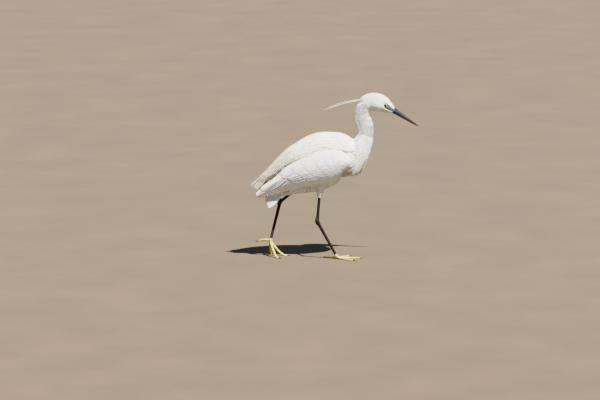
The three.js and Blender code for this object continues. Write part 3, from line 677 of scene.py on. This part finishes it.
# A core under the vanes of a wing or the mantle, from an outer surface to an inner one
def shell(surface, inside, counts, reach):
    rings, over, under = counts
    u, v = np.meshgrid(np.linspace(0, reach, rings), np.linspace(0, 1, over), indexing="ij")
    top = surface(u, v, -0.35)
    u, v = np.meshgrid(np.linspace(0, reach, rings), np.linspace(1, 0, under), indexing="ij")
    return tube(np.concatenate([top, inside(u, v)], axis=1))


def wingInside(u, v):
    station, angle = wingPlace(u, v)
    return trunk.point(station, angle, np.where(station > 3, -2.0, 0.2))


# Wing rows, from the small coverts to the flight feathers: how many, the first feather's root and tip and the
# last one's as (u, v), the width, and the lift of root and tip
wingRows = [
    (13, (0.01, 0.2), (0.09, 0.14), (0.01, 0.85), (0.09, 0.9), 6.4, (-0.42, 0.495)),
    (18, (0.04, 0.1), (0.13, 0.06), (0.03, 0.92), (0.12, 0.96), 7.2, (-0.49, 0.55)),
    (20, (0.08, 0.06), (0.19, 0.03), (0.07, 0.94), (0.17, 0.98), 8.0, (-0.56, 0.55)),
    (20, (0.13, 0.05), (0.25, 0.03), (0.11, 0.93), (0.22, 0.98), 8.8, (-0.56, 0.605)),
    (20, (0.18, 0.05), (0.31, 0.03), (0.15, 0.92), (0.27, 0.97), 9.6, (-0.56, 0.605)),
    (20, (0.24, 0.05), (0.38, 0.04), (0.2, 0.91), (0.32, 0.96), 10.0, (-0.56, 0.66)),
    (20, (0.3, 0.06), (0.46, 0.05), (0.24, 0.9), (0.38, 0.96), 10.4, (-0.63, 0.715)),
    (18, (0.36, 0.08), (0.55, 0.07), (0.28, 0.88), (0.45, 0.95), 11.2, (-0.7, 0.825)),
    (12, (0.42, 0.1), (0.66, 0.09), (0.33, 0.86), (0.53, 0.94), 14.25, (-0.77, 0.935)),
    (11, (0.5, 0.42), (0.82, 0.4), (0.4, 0.92), (0.66, 1.02), 14.25, (-0.91, 0.66)),
    (5, (0.48, 0.1), (0.9, 0.14), (0.5, 0.42), (0.84, 0.44), 18.05, (-0.84, 0.99)),
    (12, (0.66, 0.18), (0.985, 0.22), (0.6, 0.92), (0.93, 1.07), 10.4, (-0.84, 0.495)),
]
wingCore = {"counts": (60, 24, 12), "reach": 0.86}
wingVane = {"thick": 0.16, "stations": 12, "columns": 7, "camber": 0.03, "tilt": 0.05, "quill": 0.1}


def rowPlaces(rows):
    start, end, lift, width = [], [], [], []
    for count, *corners, wide, heights in rows:
        share = np.linspace(0, 1, count)[:, None]
        firstRoot, firstTip, lastRoot, lastTip = np.array(corners)
        start.append(mix(firstRoot, lastRoot, share) + random.normal(0, 0.003, (count, 2)))
        end.append(mix(firstTip, lastTip, share) + random.normal(0, 0.005, (count, 2)))
        lift.append(np.tile(heights, (count, 1)) * (1 + vary((count, 1), 0.12)))
        width.append(wide * (1 + vary(count, 0.07)))
    return np.concatenate(start), np.concatenate(end), np.concatenate(lift), np.concatenate(width)


def makeWings():
    start, end, lift, wide = rowPlaces(wingRows)
    points, quads = shell(wingSurface, wingInside, **wingCore)
    made = lay(wingSurface, start, end, lift, wide, roundedVane, **wingVane)
    rootMap = unwrap("wing", start[:, 0], start[:, 1])
    for side, mirrored in (("left", False), ("right", True)):
        stands = (f"wing_{side}",)
        meshOf(f"wing_core_{side}", points, quads, bodyFeather, stands, mirrored=mirrored)
        coat(f"wing_feathers_{side}", made, rootMap, flightFeather, stands, mirrored)


makeWings()
print("wings made")

# Mantle: its edge on the trunk as an angle by station, how far it stands out, and its feathers
mantleSize = {
    "edge": ([0.8, 2, 3, 4, 5, 6, 7, 8, 8.9], [74, 54, 46, 43, 33, 25, 23, 27, 42]),
    "thick": ([0.8, 2, 3.5, 5, 7, 8.3, 8.9], [12, 14, 11, 7.5, 5.5, 5, 2]),
    "count": 1200, "width": 7.5, "length": (0.1, 0.23)}
mantleCore = {"counts": (60, 32, 16), "reach": 0.88}
mantleVane = {"thick": 0.14, "stations": 8, "columns": 5, "camber": 0.08, "tilt": 0.03}


def mantlePlace(u, v):
    station = mix(8.9, 0.8, u)
    edge = np.interp(station, *mantleSize["edge"])
    return station, mix(edge, 180 - edge, v)


def mantleSurface(u, v, height):
    station, angle = mantlePlace(u, v)
    swell = np.sqrt(np.sin(np.pi * mix(0.06, 0.94, np.clip(v, 0, 1))))
    return trunk.point(station, angle, 1.5 + np.interp(station, *mantleSize["thick"]) * swell + height)


def mantleInside(u, v):
    station, angle = mantlePlace(u, v)
    return trunk.point(station, angle, -3.0)


def makeMantle():
    points, quads = shell(mantleSurface, mantleInside, **mantleCore)
    meshOf("mantle_core", points, quads[:, ::-1], bodyFeather, ("mantle",))
    count = mantleSize["count"]
    start = scatter(count) * [0.8, 0.95] + [0, 0.025] + random.normal(0, 0.004, (count, 2))
    u, v = start.T
    reach = mix(*mantleSize["length"], u) * (1 + vary(count, 0.15))
    end = start + np.stack([reach, 0.03 * (v - 0.5) + vary(count, 0.01)], axis=-1)
    end[:, 0] = np.minimum(end[:, 0], 0.95 + vary(count, 0.03))
    lift = np.stack([np.full(count, -0.8), 0.5 + vary(count, 0.3)], axis=-1)
    wide = mantleSize["width"] * (1 + vary(count, 0.12))
    made = lay(mantleSurface, start, end, lift, wide, lanceVane, **mantleVane)
    coat("scapular_feathers", made, unwrap("mantle", u, v), flightFeather, ("mantle",))


makeMantle()


# Loose plumes: a thin shaft with fine barbs that lie close along it. spread is the barbs' angle, in degrees.
def loosePlumes(name, lines, outs, size, stands, rootMap):
    count, steps = len(lines), 18
    share = np.linspace(0, 1, steps)
    centre = np.stack([spline(line, share) for line in lines])
    along = unit(np.gradient(centre, axis=1))
    out = unit(outs[:, None] - along * (outs[:, None] * along).sum(-1, keepdims=True))
    across = unit(np.cross(out, along))
    half = np.broadcast_to(size["shaft"] * mix(1.0, 0.3, share), (count, steps))
    coat(f"{name}_shafts", blades(centre, across, out, half, half * 1.2, 0.0), rootMap, plumeFeather, stands)

    each = 2 * size["barbs"]
    total = count * each
    at = np.tile(np.linspace(0.05, 0.97, size["barbs"]), 2 * count)
    at = np.clip(at + random.normal(0, 0.01, total), 0, 0.99)
    hand = np.tile(np.repeat([-1.0, 1.0], size["barbs"]), count)
    which = np.repeat(np.arange(count), each)
    low = np.minimum((at * (steps - 1)).astype(int), steps - 2)
    between = (at * (steps - 1) - low)[:, None]
    root, forward, flank, face = (
        mix(field[which, low], field[which, low + 1], between) for field in (centre, along, across, out))
    forward, flank, face = unit(forward), unit(flank), unit(face)
    long = size["barbLength"] * np.sin(np.pi * np.clip(at * 0.82 + 0.16, 0, 1)) ** 0.6
    long = long * (1 + vary(total, 0.25))
    angle = np.radians(size["spread"] * (1 + vary(total, 0.35)))
    sway = vary(total, 0.12)
    share = np.linspace(0, 1, 5)
    run = long[:, None] * share
    ahead = run * np.cos(angle)[:, None]
    aside = hand[:, None] * run * np.sin(angle)[:, None] * (1 - 0.45 * share)
    rise = sway[:, None] * run * share
    path = (root[:, None] + forward[:, None] * ahead[..., None] + flank[:, None] * aside[..., None]
            + face[:, None] * rise[..., None])
    along = unit(np.gradient(path, axis=1))
    across = unit(np.cross(np.broadcast_to(face[:, None], path.shape), along))
    half = np.broadcast_to(0.5 * size["barb"] * mix(1.0, 0.25, share), (total, 5))
    made = blades(path, across, unit(np.cross(along, across)), half, half, 0.0)
    coat(f"{name}_barbs", made, rootMap[which], plumeFeather, stands)


# The long plumes over the back, each from the mantle to an end behind it
aigrette = {
    "count": 52, "roots": (0.3, 0.62), "sideEnd": (-200, 182), "middleEnd": (-214, 192), "endSpread": 13,
    "barbs": 72, "barbLength": 26.0, "shaft": 0.45, "spread": 16.0, "barb": 0.34}


def makeAigrettes():
    count = aigrette["count"]
    v = np.linspace(0.03, 0.97, count) + vary(count, 0.012)
    sideways = np.cos(np.pi * v)
    u = random.uniform(*aigrette["roots"], count)
    inner = 1 - np.abs(sideways)
    (sideX, sideZ), (middleX, middleZ) = aigrette["sideEnd"], aigrette["middleEnd"]
    ends = np.stack([
        mix(sideX, middleX, inner) + vary(count, 7), sideways * aigrette["endSpread"] + vary(count, 2),
        mix(sideZ, middleZ, inner) + vary(count, 5)], axis=-1)
    knots = [mantleSurface(mix(u, 1, s), mix(v, 0.5, 0.1 * mix(u, 1, s)), np.full(count, height))
             for s, height in ((0.0, -1.0), (0.25, 1.2), (0.5, 1.8), (0.72, 2.6))]
    outs = np.stack([np.full(count, -0.5), 0.6 * sideways, np.ones(count)], axis=-1)
    lines = np.stack(knots + [ends], axis=1)
    loosePlumes("aigrette", lines, outs, aigrette, ("mantle",), unwrap("mantle", u, v))


makeAigrettes()


# A surface through a grid of places
def gridSurface(grid):
    rows, columns = grid.shape[:2]
    down, along = np.gradient(grid, axis=(0, 1))
    normals = unit(np.cross(down, along))

    def surface(u, v, height):
        i, j = np.clip(u, 0, 1) * (rows - 1), np.clip(v, 0, 1) * (columns - 1)
        a, b = np.minimum(i.astype(int), rows - 2), np.minimum(j.astype(int), columns - 2)
        s, t = (i - a)[..., None], (j - b)[..., None]
        place, normal = (
            mix(mix(field[a, b], field[a + 1, b], s), mix(field[a, b + 1], field[a + 1, b + 1], s), t)
            for field in (grid, normals))
        return place + normal * np.asarray(height)[..., None]
    return surface


# The breast's drape, from the lower neck over the front of the body. Its neck knots are (station, lift). Each
# row of its end has stations and angles on the trunk, for the underside, the flank and the shoulder.
breastSize = {
    "neck": ((3.6, -1.2), (2.8, 0.3), (1.9, 1.2), (1.15, 1.6)), "flanks": (-90, -20, 35), "endLift": 2.2,
    "ends": (((10.2, 9.0, 8.9), (-84, -30, 30)), ((9.2, 8.2, 8.3), (-86, -40, 22)),
             ((8.2, 7.4, 7.8), (-86, -48, 16))),
    "count": 1250, "width": (3.4, 5.2)}
breastVane = {"thick": 0.14, "stations": 6, "tilt": 0.04}
breastPlume = {"count": 46, "barbs": 44, "barbLength": 13.0, "shaft": 0.4, "spread": 12.0, "barb": 0.34}


def drape(share):
    angle = mix(-215.0, 35.0, share)
    turned, side = leftAngle(angle), math.cos(math.radians(angle))
    knots = [neck.point(station, angle, lift) for station, lift in breastSize["neck"]]
    for row in breastSize["ends"]:
        station, turn = (np.interp(turned, breastSize["flanks"], values) for values in row)
        end = trunk.point(station, turn, breastSize["endLift"])
        end[1] = math.copysign(abs(end[1]) * min(1, 1.8 * abs(side)), side)
        knots.append(end)
    return spline(np.array(knots), np.linspace(0, 1, 40))


def makeBreast():
    surface = gridSurface(np.stack([drape(share) for share in np.linspace(0, 1, 65)], axis=1))
    count = breastSize["count"]
    start = scatter(count) ** [0.8, 1] * [0.8, 0.96] + [0, 0.02] + random.normal(0, 0.004, (count, 2))
    u, v = start.T
    end = start + np.stack([0.2 * (1 + vary(count, 0.2)), vary(count, 0.012)], axis=-1)
    tips = (0.8 + vary(count, 0.4)) * np.clip(0.1 + 3.5 * u, 0, 1)  # the upper ones lie flat on the neck
    lift = np.stack([np.full(count, -1.2), tips], axis=-1)
    made = lay(surface, start, end, lift, mix(*breastSize["width"], u), lanceVane, **breastVane)
    coat("breast_feathers", made, unwrap("neck", 0.4 * u, v), bodyFeather, ("neck_lower",))

    count = breastPlume["count"]
    v = mix(0.06, 0.94, scatter(count)[:, 0]) + vary(count, 0.01)
    u = random.uniform(0.25, 0.55, count)
    far = 1 + vary(count, 0.05)
    knots = [surface(mix(u, far, s), v, np.full(count, height))
             for s, height in ((0.0, -0.8), (0.35, 1.2), (0.7, 1.8), (1.0, 2.2))]
    outs = knots[1] - surface(mix(u, far, 0.35), v, np.zeros(count))
    loosePlumes("breast", np.stack(knots, axis=1), outs, breastPlume, ("neck_lower",), unwrap("neck", u, v))


makeBreast()

# The two long plumes of the nape
napePlume = {
    "lines": [[[80, -2, 415], [66, -2.5, 414.6], [20, -3, 404.5], [-31, -3, 387.5]],
              [[80, 2, 415], [66, 2.5, 415], [20, 3.5, 407], [-20, 5, 393]]],
    "barbs": 260, "barbLength": 7.0, "shaft": 0.9, "spread": 6.0, "barb": 0.45}
napeMap = unwrap("head", np.array([0.1, 0.1]), np.array([0.2, 0.3]))
napeOuts = np.array([[0, -1.0, 0.2], [0, -1.0, 0.2]])
loosePlumes("nape", np.array(napePlume["lines"], float), napeOuts, napePlume, ("head",), napeMap)
print("mantle and plumes made")

# Tail: twelve vanes like a roof, the middle pair on top and the outer ones low
tailSize = {
    "root": (-134, 0, 171), "along": (-0.73, 0, -0.68), "out": (-0.68, 0, 0.73), "length": 62, "width": 14,
    "rise": 19, "pairs": 6, "shorter": 1.3, "apart": 2.6, "lean": 0.5, "leanMore": 0.09}


def makeTail():
    along, out, root = (np.array(tailSize[key], float) for key in ("along", "out", "root"))
    sidewise = np.array([0.0, 1.0, 0.0])
    pairs = tailSize["pairs"]
    order = np.repeat(np.arange(pairs), 2)[:, None]
    hand = np.tile([1.0, -1.0], pairs)[:, None]
    share = np.linspace(0, 1, 14)[None]
    run = (tailSize["length"] - tailSize["shorter"] * (pairs - 1 - order)) * share - 6
    aside = hand * (1 + tailSize["apart"] * order * mix(0.55, 1.0, share))
    rise = (1 - order / (pairs - 1)) * tailSize["rise"] * mix(0.4, 1.0, share) - 1.2 * share ** 2
    centre = root + along * run[..., None] + out * rise[..., None] + sidewise * aside[..., None]
    lean = np.broadcast_to(tailSize["lean"] + tailSize["leanMore"] * order, run.shape)
    outs = out * np.cos(lean)[..., None] + sidewise * (hand * np.sin(lean))[..., None]
    way = unit(np.gradient(centre, axis=1))
    across = unit(np.cross(outs, way))
    half = np.broadcast_to(0.5 * tailSize["width"] * roundedVane(share), run.shape)
    made = blades(centre, across, unit(np.cross(way, across)), half, np.full(run.shape, 0.25), 0.08, 7, 0.2)
    rootMap = unwrap("trunk", np.zeros(2 * pairs), order[:, 0] / 12)
    coat("tail_feathers", made, rootMap, flightFeather, ("tail",))


makeTail()
print("tail made")


# Limbs: round sections along a curve. Joints are [x, y, z, half depth, half width].
def limbRings(joints, count, sides, change=None):
    joints = np.array(joints, float)
    share = np.linspace(0, 1, count)
    centre = spline(joints[:, :3], share)
    size = spline(joints[:, 3:], share)
    along = unit(np.gradient(centre, axis=0))
    side = unit(np.array([0.0, 1.0, 0.0]) - along * along[:, 1:2])
    front = np.cross(side, along)
    angle = np.arange(sides) * 2 * np.pi / sides
    scale = np.ones((count, sides)) if change is None else change(share[:, None], angle[None])
    return (centre[:, None] + front[:, None] * (size[:, None, 0] * np.cos(angle) * scale)[..., None]
            + side[:, None] * (size[:, None, 1] * np.sin(angle) * scale)[..., None])


def scutes(number, depth):  # overlapping plates on the front of a leg or the top of a toe
    def change(share, angle):
        face = np.clip(-np.cos(angle), 0, 1) ** 0.5
        tooth = (share * number) % 1.0
        return 1 + depth * face * (tooth - 0.5)
    return change


def amid(a, b, share):
    return [mix(p, q, share) for p, q in zip(a, b)]


def onFloor(points):
    points = np.array(points)
    points[:, 2] = np.maximum(points[:, 2], 0.05)
    return points


def joinedMesh(name, pieces, material, stands):
    points, quads = joined([tube(rings) for rings in pieces])
    meshOf(name, onFloor(points), quads, material, (stands,))


legs = {
    "right": {
        "knee": (-34, -24, 232), "thighEnd": (-41, -24, 163), "ankle": (-46, -25, 99),
        "toeJoint": (4, -25, 7.5)},
    "left": {
        "knee": (-34, 24, 226), "thighEnd": (-101, 33, 174), "ankle": (-143, 36, 140),
        "toeJoint": (-168, 14, 42)},
}
thighCoat = {
    "count": 900, "radius": ([0.2, 0.5, 0.7, 0.85, 1, 1.3], [17, 15, 10.5, 7, 4.6, 4]), "width": (6, 2)}
thighVane = {"thick": 0.16, "tilt": 0.05}
ankleKnob = ((9, 3.4, 3.1), (5, 5.1, 4.6), (0, 5.9, 5.2), (-5, 5.1, 4.6), (-9, 3.4, 3.1))


def makeShank(side, knee, thighEnd, ankle):
    shank = [
        [*amid(knee, thighEnd, 0.8), 3.7, 3.4], [*amid(thighEnd, ankle, 0.5), 3.7, 3.3],
        [*amid(thighEnd, ankle, 0.88), 4.3, 3.9], [*ankle, 5.3, 4.6]]
    points, quads = tube(limbRings(shank, 90, 28, scutes(18, 0.05)))
    meshOf(f"shank_skin_{side}", points, quads, blackScute, (f"shank_{side}",))


def makeTarsus(side, thighEnd, ankle, toeJoint):
    tarsus = [
        [*ankle, 5.4, 4.7], [*amid(ankle, toeJoint, 0.1), 4.5, 3.9], [*amid(ankle, toeJoint, 0.5), 3.8, 3.2],
        [*amid(ankle, toeJoint, 0.92), 3.6, 3.4], [*toeJoint, 3.9, 4.3]]
    up, down = (unit(np.subtract(end, ankle).astype(float)) for end in (thighEnd, toeJoint))
    across = unit(up - down)
    knob = [[*(np.array(ankle) + across * reach), deep, wide] for reach, deep, wide in ankleKnob]
    pieces = [limbRings(tarsus, 220, 28, scutes(34, 0.07)), limbRings(knob, 30, 28)]
    joinedMesh(f"tarsus_skin_{side}", pieces, blackScute, f"tarsus_{side}")


def makeThigh(side, knee, thighEnd):
    thigh = [
        [*amid(knee, thighEnd, 0.1), 16, 14], [*amid(knee, thighEnd, 0.5), 12.5, 11],
        [*amid(knee, thighEnd, 0.8), 5.6, 5.2], [*thighEnd, 4.0, 3.8]]
    points, quads = tube(limbRings(thigh, 40, 36))
    meshOf(f"thigh_core_{side}", points, quads, bodyFeather, (f"thigh_{side}",))
    axis = unit(np.subtract(thighEnd, knee).astype(float))
    sideways = unit(np.array([0.0, 1.0, 0.0]) - axis * axis[1])
    front = np.cross(sideways, axis)

    def surface(u, v, height):
        radius = np.interp(u, *thighCoat["radius"]) + height
        ahead, aside = radius * np.cos(2 * np.pi * v), radius * np.sin(2 * np.pi * v)
        return (np.array(knee, float) + np.subtract(thighEnd, knee) * np.asarray(u)[..., None]
                + front * ahead[..., None] + sideways * aside[..., None])

    count = thighCoat["count"]
    start = scatter(count) * [0.72, 1] + [0.12, 0]
    u, v = start.T
    end = np.stack([np.minimum(u + 0.2, 1.02 + vary(count, 0.02)), v + vary(count, 0.015)], axis=-1)
    lift = np.stack([np.full(count, -1.0), 0.9 + vary(count, 0.5)], axis=-1)
    wide = np.interp(u, [0.2, 1], thighCoat["width"])
    made = lay(surface, start, end, lift, wide, softVane, **thighVane)
    coat(f"thigh_feathers_{side}", made, unwrap("trunk", 0.3 + 0.1 * u, v), bodyFeather, (f"thigh_{side}",))


# Toes, as points along each. The front foot is flat, and the rear one stands on the ends of its toes.
toeSize = {
    "lengths": {"hind": 32, "inner": 46, "middle": 60, "outer": 51},
    "angles": {"hind": 152, "inner": 44, "middle": 3, "outer": -34},
    "floor": 2.1, "claw": 9.0}
toeFloor = toeSize["floor"]
toeEnd = toeFloor - 0.3
toeHeights = ((0, 5.5), (0.22, 3.4), (0.5, toeFloor), (0.78, toeFloor - 0.2), (1, toeEnd))


def flatToes(joint):
    toes = {}
    for which, length in toeSize["lengths"].items():
        angle = math.radians(toeSize["angles"][which])
        x, y = length * math.cos(angle), length * math.sin(angle)
        toes[which] = [[joint[0] + x * share, joint[1] + y * share, height] for share, height in toeHeights]
    return toes


pushingToes = {
    "hind": [[-168, 14, 41], [-177, 16, 43], [-188, 19, 42.5], [-199, 22, 39]],
    "inner": [[-168, 14, 41], [-164, 5, 27], [-158, -5, 12], [-151, -13, toeFloor], [-146, -18, toeEnd]],
    "middle": [[-168, 14, 41], [-158, 15, 26], [-146, 16, 12], [-133, 17, toeFloor], [-125, 18, toeEnd]],
    "outer": [[-168, 14, 41], [-169, 23, 27], [-169, 33, 12], [-167, 42, toeFloor], [-164, 49, toeEnd]],
}


def makeClaw(which, side, bends):
    before, last = np.array(bends[-2], float), np.array(bends[-1], float)
    tip = last + unit(last - before) * toeSize["claw"] - [0, 0, 1]
    tip[2] = max(0.7, tip[2])
    middle = mix(last, tip, 0.5) + [0, 0, 0.9]
    points, quads = tube(limbRings([[*last, 1.75, 1.6], [*middle, 1.25, 1.1], [*tip, 0.3, 0.3]], 24, 16))
    meshOf(f"claw_{which}_{side}_horn", onFloor(points), quads, clawHorn, (f"claw_{which}_{side}",))


def makeFoot(side, ankle, toeJoint):
    toes = flatToes(toeJoint) if side == "right" else pushingToes
    x, y, z = toes["middle"][0]
    knuckle = [
        [*amid(toeJoint, ankle, 0.05), 3.9, 4.0], [*amid(toeJoint, ankle, 0.01), 4.5, 4.9],
        [x + 2, y, z - 1, 3.8, 4.2]]
    pieces = [limbRings(knuckle, 14, 24)]
    for which, bends in toes.items():
        radii = mix(2.7 if which == "hind" else 3.0, 2.0, np.linspace(0, 1, len(bends)))
        radii[1:-1] += 0.35  # the joints' pads
        joints = [[*place, radius, radius] for place, radius in zip(bends, radii)]
        pieces.append(limbRings(joints, 110, 22, scutes(24, 0.09)))
        makeClaw(which, side, bends)
    joinedMesh(f"foot_skin_{side}", pieces, yellowScute, f"foot_{side}")


for side, joints in legs.items():
    knee, thighEnd, ankle, toeJoint = (joints[key] for key in ("knee", "thighEnd", "ankle", "toeJoint"))
    makeShank(side, knee, thighEnd, ankle)
    makeTarsus(side, thighEnd, ankle, toeJoint)
    makeThigh(side, knee, thighEnd)
    makeFoot(side, ankle, toeJoint)
print("legs made")

# Bill: each half is a loft between two angles, open by a hair along the mouth. The upper one has a ridge on
# top and a nostril groove on each side.
billHalves = {
    "upper": {"first": -12, "last": 192, "points": 30, "open": 0.12},
    "lower": {"first": -168, "last": -12, "points": 24, "open": -0.12}}
billRidge = {"height": 0.06, "width": 14}
nostril = {"angle": 62, "width": 9, "depth": 0.22, "at": 0.2, "length": 0.13}


def makeBill():
    share = np.linspace(0, 1, 90)
    along = unit(spline(bill.stations[:, :2], share + 1e-3) - spline(bill.stations[:, :2], share - 1e-3))
    size = spline(bill.stations, np.clip(share, 1e-4, 1 - 1e-4))[:, None]
    for name, half in billHalves.items():
        angle = np.linspace(half["first"], half["last"], half["points"])
        upper = name == "upper"
        fromTop = angle - 90
        ridge = 1 + upper * billRidge["height"] * np.exp(-(fromTop / billRidge["width"]) ** 2)
        rise = size[..., 2] * np.sin(np.radians(angle)) * ridge + half["open"]
        groove = (np.exp(-((np.abs(fromTop) - nostril["angle"]) / nostril["width"]) ** 2)
                  * np.exp(-((share[:, None] - nostril["at"]) / nostril["length"]) ** 2))
        out = size[..., 3] * np.cos(np.radians(angle)) * (1 - upper * nostril["depth"] * groove)
        x, z = size[..., 0] - along[:, None, 1] * rise, size[..., 1] + along[:, None, 0] * rise
        rings = np.stack([x, out, z], axis=-1)
        points, quads = tube(rings)
        meshOf(f"bill_{name}_horn", points, quads, billHorn, (f"bill_{name}",))


makeBill()


def turnsOf(count):
    return np.arange(count) * 2 * np.pi / count


# Eyes with lids: each lid is a soft ring that hoods the ball
def makeEye(side, name):
    centre = eyeCentre(side)
    ring, around = np.meshgrid(np.linspace(0.02, np.pi - 0.02, 24), turnsOf(40), indexing="ij")
    ball = centre + eyeSize["radius"] * 0.98 * np.stack([
        np.sin(ring) * np.cos(around), side * np.cos(ring), side * np.sin(ring) * np.sin(around)], axis=-1)
    points, quads = tube(ball)
    meshOf(f"eyeball_{name}", points, quads, eyeMaterial(f"wet_eye_{name}", side), (f"eye_{name}",))

    count, sides = 48, 14
    around, turn = np.meshgrid(turnsOf(count), turnsOf(sides), indexing="ij")
    radius = eyeSize["lidRadius"] + eyeSize["lidThick"] * np.cos(turn)
    lid = centre + np.stack([
        radius * np.cos(around) * (1 + 0.1 * np.cos(around) ** 2),
        side * (2.2 + 0.9 * np.sin(turn) - 0.6 * np.cos(around) ** 2),
        radius * np.sin(around) * 0.92], axis=-1)
    r, k = np.meshgrid(np.arange(count), np.arange(sides), indexing="ij")
    here, there, onward = r * sides, (r + 1) % count * sides, (k + 1) % sides
    quads = np.stack([here + k, here + onward, there + onward, there + k], axis=-1).reshape(-1, 4)
    meshOf(f"lid_{name}", lid, quads if side > 0 else quads[:, ::-1], lidSkin, ("head",))


makeEye(1, "left")
makeEye(-1, "right")
print("head made")


def linked(name, data):
    made = bpy.data.objects.new(name, data)
    bpy.context.scene.collection.objects.link(made)
    return made


def looking(direction):
    return Vector(direction).to_track_quat("-Z", "Y")


# Floor: a board painted with matt sand-coloured paint, which only takes the shadow
boardLook = {"dark": "40341f", "light": "493b25", "rough": 0.9, "drift": 200, "relief": 0.0001}
boardHalf = 40
corners = [(x * boardHalf, y * boardHalf, 0) for x, y in ((-1, -1), (1, -1), (1, 1), (-1, 1))]
floorMesh = bpy.data.meshes.new("floor")
floorMesh.from_pydata(corners, [], [(0, 1, 2, 3)])
floorMesh.materials.append(hornMaterial("matt_sand_coloured_board", boardLook))
floor = linked("floor", floorMesh)

# Light: a high sun from behind the camera, on its right, and an open blue sky
lightSize = {
    "sun": 26.5, "sunColour": "fffaf3", "sunWay": (-0.36, 0.42, -1.0), "sunAngle": 0.02,
    "sky": 0.64, "skyColour": "a9bbd4"}
sunData = bpy.data.lights.new("sun", "SUN")
sunData.energy = lightSize["sun"]
sunData.color = srgb(lightSize["sunColour"])[:3]
sunData.angle = lightSize["sunAngle"]
sun = linked("sun", sunData)
sun.rotation_mode = "QUATERNION"
sun.rotation_quaternion = looking(lightSize["sunWay"])
world = bpy.data.worlds.new("open_sky")
bpy.context.scene.world = world
world.use_nodes = True
world.node_tree.nodes.clear()
sky = addNode(world.node_tree, "ShaderNodeBackground", {
    "Color": srgb(lightSize["skyColour"]), "Strength": lightSize["sky"]})
addNode(world.node_tree, "ShaderNodeOutputWorld", {"Surface": sky.outputs[0]})

# Camera: a long lens at the bird's right side, in metres
view = {"lens": 230.8, "sensor": 36, "distance": 10, "above": 10, "aim": (-0.0917, 0, 0.1512)}
cameraData = bpy.data.cameras.new("camera")
cameraData.sensor_width = view["sensor"]
cameraData.lens = view["lens"]
cameraData.clip_end = 100
camera = linked("camera", cameraData)
raised = math.radians(view["above"])
back = Vector((0, -math.cos(raised), math.sin(raised)))
camera.location = Vector(view["aim"]) + back * view["distance"]
camera.rotation_mode = "QUATERNION"
camera.rotation_quaternion = looking(-back)
bpy.context.scene.camera = camera

print("coat of", sum(coatSize), "triangles")
